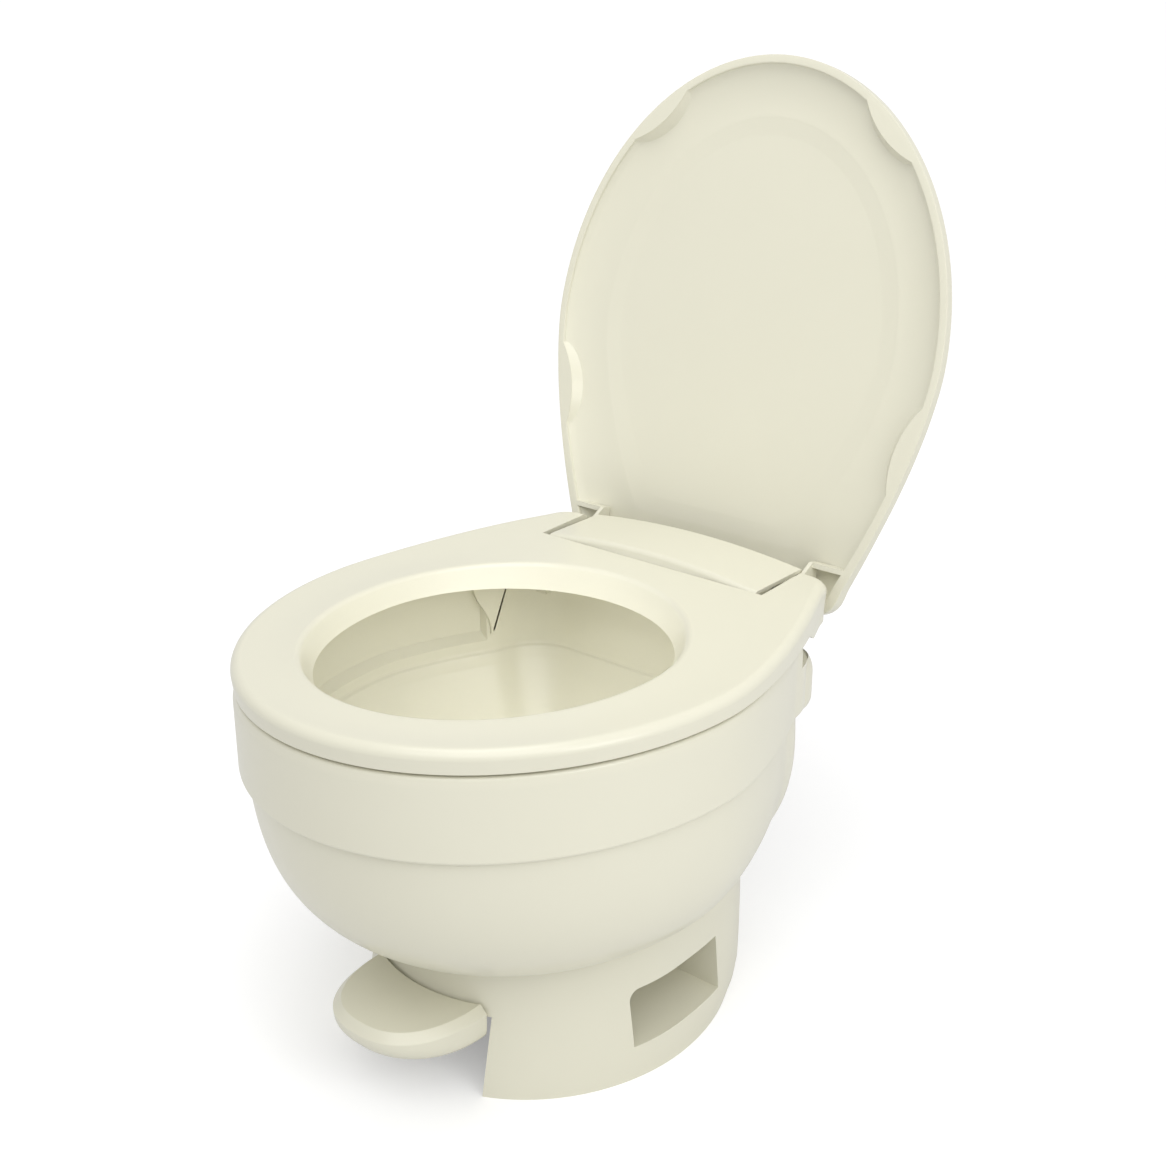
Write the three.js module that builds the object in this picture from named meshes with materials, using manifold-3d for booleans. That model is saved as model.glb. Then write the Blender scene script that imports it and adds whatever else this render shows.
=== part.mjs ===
// Low foot-flush toilet for a motorhome: bowl, rim, pedestal, seat and lid, with the pedal, ball valve and
// water parts inside. Millimetres, +Z up, -Y is the front, and the middle of its box stands on the origin.
import * as THREE from 'three';
import { mergeVertices } from 'three/addons/utils/BufferGeometryUtils.js';
import Module from 'manifold-3d';

const wasm = await Module();
wasm.setup();

// Fits shared by all pieces
const touchGap = 0.3; // between two pieces that touch
const runGap = 0.6; // between a turning piece and its bearing
const cutOver = 5; // how far a cut runs past the face that it leaves by
const bury = 2; // how far a joined form runs into the one that carries it
const wall = 4; // moulded walls

// Seat: heights above the floor, and a plan measured from its widest section
const seatTop = 320;
const seatHalfWidth = 189;
const seatFront = 218;
const seatRear = 203;
const coverHalfWidth = 102.8; // of the hinge cover between the seat's arms
const armGap = 5.2;
const armInner = coverHalfWidth + armGap; // half the distance between the arms
const armWidth = 22;
const seatRearHalfWidth = armInner + armWidth;
const seatCorner = 20;
const seatThick = 16;
const seatDraft = 1;
const seatDip = 1; // hollow of the top between its two rolled edges
const seatRise = 7; // the rear of the top lies this much higher
const seatRound = 7;
const seatUnderRecess = 8;
const seatUnderLand = 9;
const fillReach = 73; // the seat is solid this far before its rear edge
const armDrop = 8; // the rear arms reach this much lower
const armSlopeStart = 62; // where the underside drops to the arms, before the rear edge
const armSlopeEnd = 43;
const seatBand = 67; // width of the seat beside its hole
const holeHalfWidth = seatHalfWidth - seatBand;
const holeRear = 120;
const holeBack = -20; // centre of the hole, behind the widest section
const seatFrontBand = 55;
const holeFront = seatFront + holeBack - seatFrontBand;
const holeRound = 14;
const holeRoundDrop = 12;
const bumperRadius = 7;
const bumperShares = [0.624, 0.7725]; // front and rear bumpers across half the seat
const bumperFrontShare = 0.642; // of the way to the front
const bumperFront = [seatHalfWidth * bumperShares[0], -seatFront * bumperFrontShare];
const bumperRearBack = 60;
const bumperRear = [seatHalfWidth * bumperShares[1], bumperRearBack];

// Hinge line of the seat and the lid, and the cover over it
const hingeSetIn = 13; // from the rear edge of the seat
const hingeBack = seatRear - hingeSetIn;
const hingeDrop = 13; // below the top of the seat
const hingeHeight = seatTop - hingeDrop;
const pinRadius = 4;
const pinReach = 19; // into the arms
const pinEnd = armInner + pinReach;
const pinHead = 6.5;
const pinHeadThick = 2.5;
const coverReach = 47.3; // from the hinge line to the cover's front edge
const coverNotchGap = 1.2;
const coverSkirt = 8; // lower edge of its front, above the hinge line
const coverTop = 18; // above the hinge line, at the front
const coverSlope = 3;
const coverCrown = 3;
const coverThick = 3;
const coverRear = 21;
const coverLip = 7;
const coverSwing = 33; // the lid clears this radius round the hinge line
const postRadius = 5;
const postSide = 60;
const baseThick = 3.7;
const baseReach = 16;
const baseFront = hingeBack - baseReach;
const baseTail = 14;
const baseRear = hingeBack + baseTail;
const cheekThick = 10;
const cheekRadius = 10;

// Lid: plan as the seat's, heights from its own rim plane
const lidSetIn = 5;
const lidHalfWidth = seatHalfWidth - lidSetIn;
const lidRearHalfWidth = seatRearHalfWidth - lidSetIn;
const lidCorner = 22;
const lidRimOverHinge = 21.8;
const lidRimWidth = 6;
const lidRimDepth = 10;
const lidRearFull = 0.5; // share by which the rear of the lid is deeper
const lidDome = 9;
const lidWall = 3;
const domeInset = 60;
const panelEdge = 18;
const panelDish = 2;
const lidTilt = THREE.MathUtils.degToRad(0.885);
const lidOpen = THREE.MathUtils.degToRad(104);
const landRadius = 40;
const landFrontSetIn = [53.1, 33.6]; // centres of the lands, from the side and the front of the lid
const landFront = [lidHalfWidth - landFrontSetIn[0], landFrontSetIn[1] - seatFront];
const landRearOut = 11.1;
const landRearBack = 66.4;
const landRear = [lidHalfWidth + landRearOut, landRearBack];
const ribReach = 28; // the cross ledge in front of the pockets, from the hinge line
const ribBack = hingeBack - ribReach;
const ribThick = 4;
const ribSpread = 7;
const ribEnd = seatRearHalfWidth + ribSpread;
const earGap = 1.2;
const earThick = 3.2;
const earRadius = 9;

// Rim ring with its outer band, hinge deck and rear shroud
const rimGap = 2.5; // under the seat
const rimInset = 1.5;
const rimRearSetIn = 29;
const rimRear = seatRear - rimRearSetIn;
const rimRearDrawIn = 1;
const rimRearHalfWidth = seatRearHalfWidth - rimRearDrawIn;
const rimCorner = 45;
const rimHeight = 61;
const rimEdge = 3;
const rimTaper = 3;
const rimRound = 9;
const rimPlate = 5;
const rimLipDepth = 14;
const rimHoleStep = 12;
const deckReach = 40; // from the hinge line to the front of the deck
const rimDeckFront = hingeBack - deckReach;
const armCutReach = 52;
const rimArmCut = hingeBack - armCutReach;
const deckDrop = 19; // below the hinge line
const deckTop = hingeHeight - deckDrop;
const armSweep = 27; // radius round the hinge line that the arms need
const shroudSpread = 2;
const shroudHalfWidth = seatRearHalfWidth + shroudSpread;
const shroudLength = 97;
const shroudTail = 4; // behind the seat
const shroudRear = seatRear + shroudTail;
const shroudCorner = 30;
const deckStep = 8;
const shroudTop = deckTop - deckStep;
const shroudHeight = 60;
const shroudBottom = shroudTop - shroudHeight;
const shroudRound = 12;

// Ball valve's place and gears, which set where the pedal's shaft and the floor bolts are
const ballBack = 22;
const ballHeight = 62;
const ballRadius = 46;
const gearModule = 2.5;
const pinionTeeth = 12;
const sectorRatio = 4.75;
const bracketGap = 2;
const bracketLeft = ballRadius + bracketGap;
const bracketThick = 6;
const gearGap = 2.5;
const gearLeft = bracketLeft + bracketThick + gearGap;
const gearThick = 5;
const shaftStub = 8;
const shaftLeft = -(bracketLeft + bracketThick + shaftStub);
const rodStep = 2;
const rodSide = shaftLeft - rodStep;
const crankHeight = 26;
const rodHeight = ballHeight + crankHeight;

// Bowl and the skirt round it
const skirtSetIn = 9;
const skirtHalfWidth = seatHalfWidth - skirtSetIn;
const skirtFrontSetIn = 12;
const skirtFront = seatFront - skirtFrontSetIn;
const skirtRearSetIn = 35;
const skirtRear = seatRear - skirtRearSetIn;
const skirtRearDrawIn = 8;
const skirtRearHalfWidth = seatRearHalfWidth - skirtRearDrawIn;
const skirtCorner = 42;
const shoulderDrop = 80;
const bowlShoulder = seatTop - shoulderDrop; // the skirt curves in below this height
const bowlBaseRise = 7; // the skirt ends this far over the flange
const bowlShift = 11; // the foot of the skirt sits this much further back
const bowlFullness = 3.6;
const ductWidth = 24; // from the outside of the skirt to the inside of the bowl
const throatStep = 13; // the throat is this much narrower than the ball
const throatRadius = ballRadius - throatStep;
const neckStep = 5;
const neckRadius = throatRadius + neckStep;
const flangeSpread = 14;
const flangeRadius = ballRadius + flangeSpread;
const flangeThick = 5;
const flangeDip = 3; // below the top of the ball
const flangeTop = ballHeight + ballRadius - flangeDip;
const bowlBase = flangeTop + bowlBaseRise;
const flangeBoltSetIn = 9.1; // from the edge of the flange
const flangeBoltReach = (flangeRadius - flangeBoltSetIn) * Math.SQRT1_2;
const screwRadius = 2;
const screwHead = 4;
const screwHeadThick = 2.5;

// Pedestal
const footSpread = 73; // outside the valve rod
const footHalfWidth = footSpread - rodSide;
const footFront = 150;
const footRear = 160;
const footBack = 23; // centre of the foot
const footSides = 40;
const footFlare = 15;
const waistHalfWidth = footHalfWidth - footFlare;
const footFrontFlare = 22;
const waistFront = footFront - footFrontFlare;
const footRearFlare = 10;
const waistRear = footRear - footRearFlare;
const pedestalRise = 17;
const pedestalTop = flangeTop + pedestalRise;
const topLand = 16;
const shelfHeight = 25;
const nicheDrop = 18; // below the valve rod
const nicheTop = rodHeight - nicheDrop;
const nicheFront = -24;
const nicheRear = 75;
const nicheCorner = 8;
const nicheGap = 4.5; // past the gear
const nicheDepthTo = gearLeft + gearThick + nicheGap; // from the middle
const nicheWall = 3;
const boltSetIn = 10.2; // from the inner wall of the niche
const boltSpan = nicheDepthTo + boltSetIn;
const boltRadius = 3.2;
const boltEnd = 44;
const boltHeadRadius = 6;
const boltHeadThick = 3;
const washerRadius = 9;
const washerThick = 1.5;
const nutCorner = 6.5;
const nutThick = 6;

// Pedal
const shaftBack = ballBack - (gearModule * pinionTeeth * (1 + sectorRatio)) / 2;
const shaftHeight = ballHeight;
const shaftRadius = 5;
const shaftTail = 2.5;
const shaftRight = gearLeft + gearThick + shaftTail;
const treadHalfWidth = 56.4;
const pedalCutHalfWidth = treadHalfWidth + 2 * runGap;
const pedalCutTop = shaftHeight;
const treadReach = 45; // in front of the foot
const treadFront = footBack - footFront - treadReach;
const treadNose = 67; // length of the rounded front
const treadSide = treadFront + treadNose;
const treadRise = 10; // over the middle of the shaft
const treadTop = shaftHeight + treadRise;
const treadThick = 17;
const treadChamfer = 5;
const treadRound = 8;
const treadWallGap = 3;
const treadSteps = 16;
const armHalfWidth = 16;
const armThick = 11;
const armLap = 20;
const hubRadius = 11;

// Ball valve and its gears
const ballWall = 3;
const ballShares = [0.609, 0.739]; // lower edge of the cap and inner edge of the cheeks, by the radius
const ballCap = ballRadius * ballShares[0];
const ballCheek = ballRadius * ballShares[1];
const ballCheekDrop = 9;
const ballCheekLap = 5;
const trunnionRadius = 6;
const trunnionTail = 0.5;
const trunnionEnd = gearLeft + gearThick + trunnionTail;
const housingGap = 2.3;
const housingWall = 4;
const housingFlangeRadius = flangeRadius - bury;
const bossRadius = 10;
const bossGap = 1.5;
const outletRadius = throatRadius + wall;
const outletFoot = 4;
const gasketWide = 15;
const gasketRadius = outletRadius + gasketWide;
const gasketTop = 12;
const gasketFoot = 0.5;
const sealWide = 4.5;
const sealRadius = throatRadius + sealWide;
const sectorFirst = -5;
const sectorLast = 1;
const pressure = THREE.MathUtils.degToRad(25);
const backlash = 0.5;
const rootShare = 1.2;
const eyeRadius = 13;
const bushRadius = 9;

// Return spring
const springWire = 2;
const springRadius = 8.6;
const springTurns = 6;
const springSteps = 9; // points to a turn
const springLeft = armHalfWidth + touchGap + springWire / 2;
const springRight = bracketLeft - touchGap - springWire / 2;

// Water parts
const crankPin = 3;
const crankStep = 1;
const crankThick = 4;
const rodThick = 6;
const rodHalfHeight = 5;
const rodHeadHalf = 8;
const rodHeadDrop = 10;
const slotWall = 2.5;
const stemFront = 84;
const stemRadius = 3;
const valveHalfWidth = 20;
const valveFront = 94;
const valveRear = 128;
const valveMiddle = (valveFront + valveRear) / 2;
const valveHalfHeight = 17;
const valveShelf = 5;
const valveBore = 10;
const plungerFront = 105;
const plungerThick = 10;
const capThick = 3;
const nippleRadius = 9;
const nippleBore = 5;
const nippleCollar = 14;
const collarThick = 4;
const nutRadius = 14;
const nutReach = 11; // the nut starts this far inside the foot's rear
const nutLength = 16;
const nutFront = footBack + footRear - nutReach;
const nutRear = nutFront + nutLength;
const nippleEnd = nutRear + wall;
const tubeRadius = 7;
const tubeWall = 1.6;
const tubePlaces = [[-38, 111], [-33, 113], [-25, 126], [-22, 150], [-22, 182], [-26, 206],
  [-36, 226], [-40, 230]];
// Heights of those places, from the valve to the breaker
const tubeRiseShares = [0, 0, 0.0075, 0.037, 0.082, 0.224, 0.537, 0.806];
const breakerSide = -40;
const breakerStep = 23; // behind the shroud
const breakerBack = shroudRear + breakerStep;
const breakerRadius = 16;
const breakerRise = 2;
const breakerBottom = shroudBottom + breakerRise;
const breakerHeight = 46;
const breakerTop = breakerBottom + breakerHeight;
const breakerWall = 2.5;
const floatRadius = 9;
const floatThick = 5;
const floatRise = 8;
const floatRest = breakerBottom + floatRise;
const ventCount = 5;
const ventReach = 9;
const ventRadius = 2;
const spigotRise = 18;
const spigotHeight = breakerBottom + spigotRise;
const spigotRadius = 8;
const spigotReach = 7;
const spigotEnd = shroudRear - spigotReach;
const ductRadius = 6;
const ductShares = [0, 0.063, 0.232, 0.463, 0.674, 0.821, 0.926, 1]; // from the breaker to the nozzle
const ductPlaces = [[194, 0], [187, 1], [184, 6], [180, 14], [168, 20], [150, 24], [134, 26],
  [118, 26]];
const nozzleSetIn = 1.2; // from the side of the bowl
const nozzleReach = 11;
const nozzleBack = 97;
const nozzlePlan = [[-4, -20], [14, 6], [10, 24], [-24, -8]];
const nozzleShoulderDrop = 45; // below the top of the seat
const nozzleShoulder = seatTop - nozzleShoulderDrop;
const nozzleDrop = 77;
const nozzleTip = seatTop - nozzleDrop;
const nozzleTipShift = 8;
const nozzleTipShare = 0.25;

// Axes as the two coordinates across them
const hingeAxis = [hingeBack, hingeHeight];
const shaftAxis = [shaftBack, shaftHeight];
const ballAxis = [ballBack, ballHeight];
const ballPlace = [0, ballBack];
const valveAxis = [rodSide, rodHeight];
const breakerPlace = [breakerSide, breakerBack];

// Colours
const bone = 0xe9e6d4;
const finish = {
  shell: { color: bone, roughness: 0.32, metalness: 0 },
  inner: { color: 0xd9d7c6, roughness: 0.5, metalness: 0 },
  rubber: { color: 0x2a2a2b, roughness: 0.8, metalness: 0 },
  steel: { color: 0xb9bcc0, roughness: 0.3, metalness: 1 },
  brass: { color: 0xb9975a, roughness: 0.35, metalness: 1 },
  acetal: { color: 0xf2f2ee, roughness: 0.45, metalness: 0 },
  black: { color: 0x2b2c2e, roughness: 0.5, metalness: 0 },
  tube: { color: 0xc9cdc9, roughness: 0.4, metalness: 0 },
};

// Sides of round forms
const boreSides = 12;
const smallSides = 16;
const roundSides = 20;
const wideSides = 32;
const sweepSides = 44;
const sphereSides = 24;
const hexSides = 6;
const tubeSides = 4; // to a half turn
const tubeSteps = 18; // along the path
const pathSteps = 24;
const weld = 1e-4;

// Solids and meshes
function solidOf(geometry) {
  let plain = geometry.clone();
  plain.deleteAttribute('normal');
  plain.deleteAttribute('uv');
  plain = mergeVertices(plain, weld);
  return new wasm.Manifold(new wasm.Mesh({
    numProp: 3,
    vertProperties: new Float32Array(plain.attributes.position.array),
    triVerts: new Uint32Array(plain.index.array),
  }));
}

function geometryOf(solid) {
  const mesh = solid.getMesh();
  const geometry = new THREE.BufferGeometry();
  const places = new Float32Array(mesh.vertProperties);
  geometry.setAttribute('position', new THREE.BufferAttribute(places, 3));
  geometry.setIndex(new THREE.BufferAttribute(new Uint32Array(mesh.triVerts), 1));
  geometry.computeVertexNormals();
  return geometry;
}

const toilet = new THREE.Group();
function piece(name, solid, look, parent = toilet) {
  const mesh = new THREE.Mesh(geometryOf(solid), new THREE.MeshStandardMaterial(finish[look]));
  mesh.name = name;
  parent.add(mesh);
  return mesh;
}

// Triangles across a closed loop, wound as the loop runs
function capOf(loop) {
  const spans = [0, 1, 2].map((axis) => {
    const values = loop.map((point) => point[axis]);
    return Math.max(...values) - Math.min(...values);
  });
  const flat = spans.indexOf(Math.min(...spans));
  const [u, v] = [0, 1, 2].filter((axis) => axis !== flat);
  const contour = loop.map((point) => new THREE.Vector2(point[u], point[v]));
  const faces = THREE.ShapeUtils.triangulateShape(contour.slice(), []);
  const areaOf = (corners) => THREE.ShapeUtils.area(corners.map((corner) => contour[corner]));
  const sameWay = areaOf(faces[0]) * THREE.ShapeUtils.area(contour) > 0;
  return sameWay ? faces : faces.map(([a, b, c]) => [a, c, b]);
}

// Closed solid through loops of [x, y, z] points with one count: a ring of loops, or a stack with two caps
function loft(loops, ring) {
  const count = loops[0].length;
  const positions = loops.flat(2);
  const index = [];
  const rows = ring ? loops.length : loops.length - 1;
  for (let row = 0; row < rows; row++) {
    const next = (row + 1) % loops.length;
    for (let k = 0; k < count; k++) {
      const a = row * count + k;
      const b = row * count + (k + 1) % count;
      const c = next * count + (k + 1) % count;
      const d = next * count + k;
      index.push(a, b, c, a, c, d);
    }
  }
  if (!ring) {
    for (const [a, b, c] of capOf(loops[0])) index.push(a, c, b);
    const last = (loops.length - 1) * count;
    for (const face of capOf(loops.at(-1))) index.push(...face.map((corner) => last + corner));
  }
  const geometry = new THREE.BufferGeometry();
  geometry.setAttribute('position', new THREE.Float32BufferAttribute(positions, 3));
  geometry.setIndex(signedVolume(positions, index) < 0 ? index.reverse() : index);
  return solidOf(geometry);
}

function signedVolume(positions, index) {
  const corner = (k) => new THREE.Vector3().fromArray(positions, 3 * index[k]);
  let volume = 0;
  for (let k = 0; k < index.length; k += 3) {
    volume += corner(k).dot(corner(k + 1).cross(corner(k + 2)));
  }
  return volume;
}

const box = (x0, x1, y0, y1, z0, z1) => solidOf(
  new THREE.BoxGeometry(x1 - x0, y1 - y0, z1 - z0).translate((x0 + x1) / 2, (y0 + y1) / 2,
    (z0 + z1) / 2));

// Cylinder along one axis, between two places on it, about a point given by the other two coordinates
function rod(axis, radius, from, to, [u, v], sides = roundSides) {
  const geometry = new THREE.CylinderGeometry(radius, radius, to - from, sides);
  geometry.translate(0, (from + to) / 2, 0);
  if (axis === 'x') geometry.rotateZ(-Math.PI / 2).translate(0, u, v);
  if (axis === 'y') geometry.translate(u, 0, v);
  if (axis === 'z') geometry.rotateX(Math.PI / 2).translate(u, v, 0);
  return solidOf(geometry);
}

// Solid of revolution about a vertical axis at [x, y], from [radius, height] pairs
function turned(profile, [x, y], sides = roundSides) {
  const points = profile.map(([radius, height]) => new THREE.Vector2(radius, height));
  const geometry = new THREE.LatheGeometry(points, sides).rotateX(Math.PI / 2).translate(x, y, 0);
  const merged = mergeVertices(geometry.deleteAttribute('normal').deleteAttribute('uv'), weld);
  const index = [...merged.index.array];
  const turnedIn = signedVolume(merged.attributes.position.array, index) < 0;
  merged.setIndex(turnedIn ? index.reverse() : index);
  return solidOf(merged);
}

// Prism of a [y, z] outline between two places on the x axis
function slab(outline, from, to) {
  const shape = new THREE.Shape(outline.map(([y, z]) => new THREE.Vector2(y, z)));
  const geometry = new THREE.ExtrudeGeometry(shape, { depth: to - from, bevelEnabled: false });
  return solidOf(geometry.rotateX(Math.PI / 2).rotateZ(Math.PI / 2).translate(from, 0, 0));
}

const mirrored = (solid) => solid.mirror([1, 0, 0]);
const both = (solid) => solid.add(mirrored(solid));

// Tube or wire along a smooth path through points
function swept(points, radius, bore, steps, sides = boreSides) {
  const shape = new THREE.Shape().absarc(0, 0, radius, 0, 2 * Math.PI);
  if (bore > 0) shape.holes.push(new THREE.Path().absarc(0, 0, bore, 0, 2 * Math.PI, true));
  const path = new THREE.CatmullRomCurve3(points.map((point) => new THREE.Vector3(...point)));
  const settings = { steps, extrudePath: path, curveSegments: sides, bevelEnabled: false };
  return solidOf(new THREE.ExtrudeGeometry(shape, settings));
}

// Plan outlines: a half ellipse in front, sides that draw in and rounded rear corners, counted alike
const frontSteps = 9;
const sideSteps = 4;
const cornerSteps = 3;
const sideBend = 1.6;
const cornerLeast = 3;
function planOf({ half, front, rear, rearHalf, corner }, inset = 0) {
  const right = [];
  for (let k = 0; k <= frontSteps; k++) {
    const angle = (k / frontSteps) * (Math.PI / 2);
    right.push([(half - inset) * Math.sin(angle), (inset - front) * Math.cos(angle)]);
  }
  const round = Math.max(corner - inset, cornerLeast);
  const sideEnd = rear - inset - round;
  const sideAt = (y) => half - inset - (half - rearHalf) * (y / (rear - inset)) ** sideBend;
  for (let k = 1; k <= sideSteps; k++) {
    const y = (sideEnd * k) / sideSteps;
    right.push([sideAt(y), y]);
  }
  const cornerX = sideAt(sideEnd) - round;
  for (let k = 1; k <= cornerSteps; k++) {
    const angle = (k / cornerSteps) * (Math.PI / 2);
    right.push([cornerX + round * Math.cos(angle), sideEnd + round * Math.sin(angle)]);
  }
  right.push([cornerX / 2, rear - inset]);
  const left = right.slice(1).reverse().map(([x, y]) => [-x, y]);
  return [...right, [0, rear - inset], ...left];
}

const atHeight = (points, z) => points.map(([x, y]) => [x, y, z]);
const mixed = (first, second, share) => first.map((point, k) => point.map(
  (value, axis) => value + (second[k][axis] - value) * share));

// Inward and downward shares of a rolled edge, from its foot to its top
const rollShares = [[0, 1], [0.1, 0.55], [0.35, 0.2], [1, 0]];

const seatPlan = {
  half: seatHalfWidth,
  front: seatFront,
  rear: seatRear,
  rearHalf: seatRearHalfWidth,
  corner: seatCorner,
};
const seatBottom = seatTop - seatThick;
const topAt = (y) => seatTop + seatRise * THREE.MathUtils.smoothstep(y, 0, seatRear);

// The hole's edge, one point in the direction of each point of the seat's plan
function holeLoop(outset) {
  return planOf(seatPlan).map(([x, y]) => {
    const back = y - holeBack;
    const reach = (back < 0 ? holeFront : holeRear) + outset;
    const shrink = 1 / Math.hypot(x / (holeHalfWidth + outset), back / reach);
    return [x * shrink, holeBack + back * shrink];
  });
}

// Seat
const fromTop = (points, drop) => points.map(([x, y]) => [x, y, topAt(y) - drop]);
const fromBottom = (points, rise) => points.map(([x, y]) => [x, y, seatBottom + rise]);
const seatLoops = [
  fromBottom(planOf(seatPlan, seatDraft), 0),
  ...rollShares.map(([a, b]) => fromTop(planOf(seatPlan, a * seatRound), b * seatRound)),
  mixed(fromTop(planOf(seatPlan, seatRound), seatDip), fromTop(holeLoop(holeRound), seatDip), 0.5),
  ...rollShares.toReversed().map(([a, b]) => fromTop(holeLoop(a * holeRound), b * holeRoundDrop)),
  fromBottom(holeLoop(seatDraft), 0),
  fromBottom(holeLoop(seatUnderLand), 0),
  fromBottom(holeLoop(seatUnderLand + seatDraft), seatUnderRecess),
  fromBottom(planOf(seatPlan, seatUnderLand + seatDraft), seatUnderRecess),
  fromBottom(planOf(seatPlan, seatUnderLand), 0),
];
const armBottom = seatBottom - armDrop;
const armPlan = planOf(seatPlan, seatDraft);
const armBlock = loft([armBottom, seatTop - seatRound].map((z) => atHeight(armPlan, z)), false);
const armSide = [
  [seatRear - fillReach, seatBottom],
  [seatRear - armSlopeStart, seatBottom],
  [seatRear - armSlopeEnd, armBottom],
  [seatRear + cutOver, armBottom],
  [seatRear + cutOver, seatTop],
  [seatRear - fillReach, seatTop],
];
const seatNotch = rod('x', coverReach + coverNotchGap, -armInner, armInner, hingeAxis, sweepSides)
  .add(box(-armInner, armInner, hingeBack, seatRear + cutOver, hingeHeight - coverReach,
    hingeHeight + coverReach));
const pinHole = rod('x', pinRadius + runGap, coverHalfWidth, pinEnd + runGap, hingeAxis);
const seat = loft(seatLoops, true)
  .add(armBlock.intersect(slab(armSide, -seatHalfWidth, seatHalfWidth)))
  .subtract(seatNotch)
  .subtract(both(pinHole));
piece('seat', seat, 'shell');
const rimTop = seatBottom - rimGap;
for (const [side, [x, y]] of [['front', bumperFront], ['rear', bumperRear]]) {
  const bumper = rod('z', bumperRadius, rimTop + touchGap, seatBottom + seatUnderRecess - touchGap,
    [x, y], smallSides);
  piece(`seat_bumper_${side}_right`, bumper, 'rubber');
  piece(`seat_bumper_${side}_left`, mirrored(bumper), 'rubber');
}

// Rim ring with its band, the hinge deck and the rear shroud
const rimPlan = {
  half: seatHalfWidth - rimInset,
  front: seatFront - rimInset,
  rear: rimRear,
  rearHalf: rimRearHalfWidth,
  corner: rimCorner,
};
const skirtPlan = {
  half: skirtHalfWidth,
  front: skirtFront,
  rear: skirtRear,
  rearHalf: skirtRearHalfWidth,
  corner: skirtCorner,
};
const linerPlan = {
  half: skirtHalfWidth - ductWidth,
  front: skirtFront - ductWidth,
  rear: skirtRear - ductWidth,
  rearHalf: skirtRearHalfWidth - ductWidth,
  corner: skirtCorner,
};
const rimFoot = rimTop - rimHeight;
const bowlTop = rimTop - rimPlate - touchGap;
const rimStack = loft([
  ...rollShares.toReversed().map(([a, b]) => atHeight(planOf(rimPlan, a * rimEdge),
    rimTop - b * rimEdge)),
  ...rollShares.map(([a, b]) => atHeight(planOf(rimPlan, rimTaper + a * rimRound),
    rimFoot + b * rimRound)),
], false);
const prismOf = (points, bottom, top) => loft([bottom, top].map((z) => atHeight(points, z)), false);
const shroudPlan = (inset) => {
  const halfX = shroudHalfWidth - inset;
  const [near, far] = [shroudRear - shroudLength, shroudRear - inset];
  const round = shroudCorner - inset;
  const points = [[halfX, near]];
  for (let k = 0; k <= cornerSteps; k++) {
    const angle = (k / cornerSteps) * (Math.PI / 2);
    points.push([halfX - round + round * Math.cos(angle), far - round + round * Math.sin(angle)]);
  }
  return [...points, ...points.toReversed().map(([x, y]) => [-x, y])];
};
const shroud = loft([
  ...rollShares.toReversed().map(([a, b]) => atHeight(shroudPlan(a * shroudRound),
    shroudTop - b * shroudRound)),
  ...rollShares.map(([a, b]) => atHeight(shroudPlan(a * shroudRound), shroudBottom + b * shroudRound)),
], false);
const sideOf = (plan, y) => plan.half - (plan.half - plan.rearHalf) * (y / plan.rear) ** sideBend;
const nozzleSide = nozzleSetIn - sideOf(linerPlan, nozzleBack);
const ductEnd = nozzleSide - nozzleReach;
const ductPath = [
  [breakerSide, spigotEnd - touchGap, spigotHeight],
  ...ductPlaces.map(([y, rise], k) => [
    breakerSide + ductShares[k] * (ductEnd - breakerSide), y, spigotHeight + rise]),
];
const ductHole = swept(ductPath, ductRadius + runGap, 0, pathSteps);
const spigotHole = rod('y', spigotRadius + touchGap, hingeBack, shroudRear + cutOver,
  [breakerSide, spigotHeight]);
const deckSide = coverHalfWidth + touchGap;
const seatWidth = seatHalfWidth + cutOver;
// Space over the deck and under the raised arms, grown for the pieces below it
function rearSpace(grow) {
  const rear = shroudRear + cutOver;
  return box(-deckSide, deckSide, rimDeckFront - grow, rear, deckTop - grow, seatTop)
    .add(both(box(deckSide - bury - grow, seatWidth, rimArmCut - grow, rear, shroudTop - grow,
      seatTop)))
    .add(both(rod('x', armSweep + grow, deckSide - bury - grow, seatWidth, hingeAxis, wideSides)));
}

// Skirt round the bowl: upright under the band, then curved in to a foot that sits further back
const skirtShares = [0.25, 0.45, 0.62, 0.76, 0.87, 0.955];
const lastSkirtShare = 0.97;
const scaleAt = (share) => (1 - share ** bowlFullness) ** (1 / bowlFullness);
const skirtHeight = (share) => bowlShoulder - share * (bowlShoulder - bowlBase);
function skirtLoop(inset, share) {
  const scale = scaleAt(share);
  const points = planOf(skirtPlan, inset).map(([x, y]) => [x * scale, y * scale + bowlShift * share]);
  return atHeight(points, skirtHeight(share) + Math.max(inset, 0) * share);
}
const skirtOuter = (inset) => [
  atHeight(planOf(skirtPlan, inset), bowlTop),
  ...[0, ...skirtShares].map((share) => skirtLoop(inset, share)),
];
const skirtVoid = loft([atHeight(planOf(skirtPlan, -touchGap), rimTop - rimPlate),
  ...skirtOuter(-touchGap).slice(1)], false);
const rim = rimStack.add(shroud)
  .add(box(-deckSide, deckSide, rimRear - shroudRound, shroudRear - shroudRound, shroudTop - bury,
    deckTop))
  .subtract(prismOf(shroudPlan(wall), shroudBottom - cutOver, shroudTop - wall))
  .subtract(skirtVoid.subtract(rearSpace(wall)))
  .add(prismOf(holeLoop(rimHoleStep + wall), rimTop - rimLipDepth, rimTop - bury))
  .subtract(prismOf(holeLoop(rimHoleStep), rimTop - rimLipDepth - cutOver, rimTop + cutOver))
  .subtract(rearSpace(0))
  .subtract(ductHole)
  .subtract(spigotHole);
piece('rim_ring', rim, 'shell');

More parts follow.
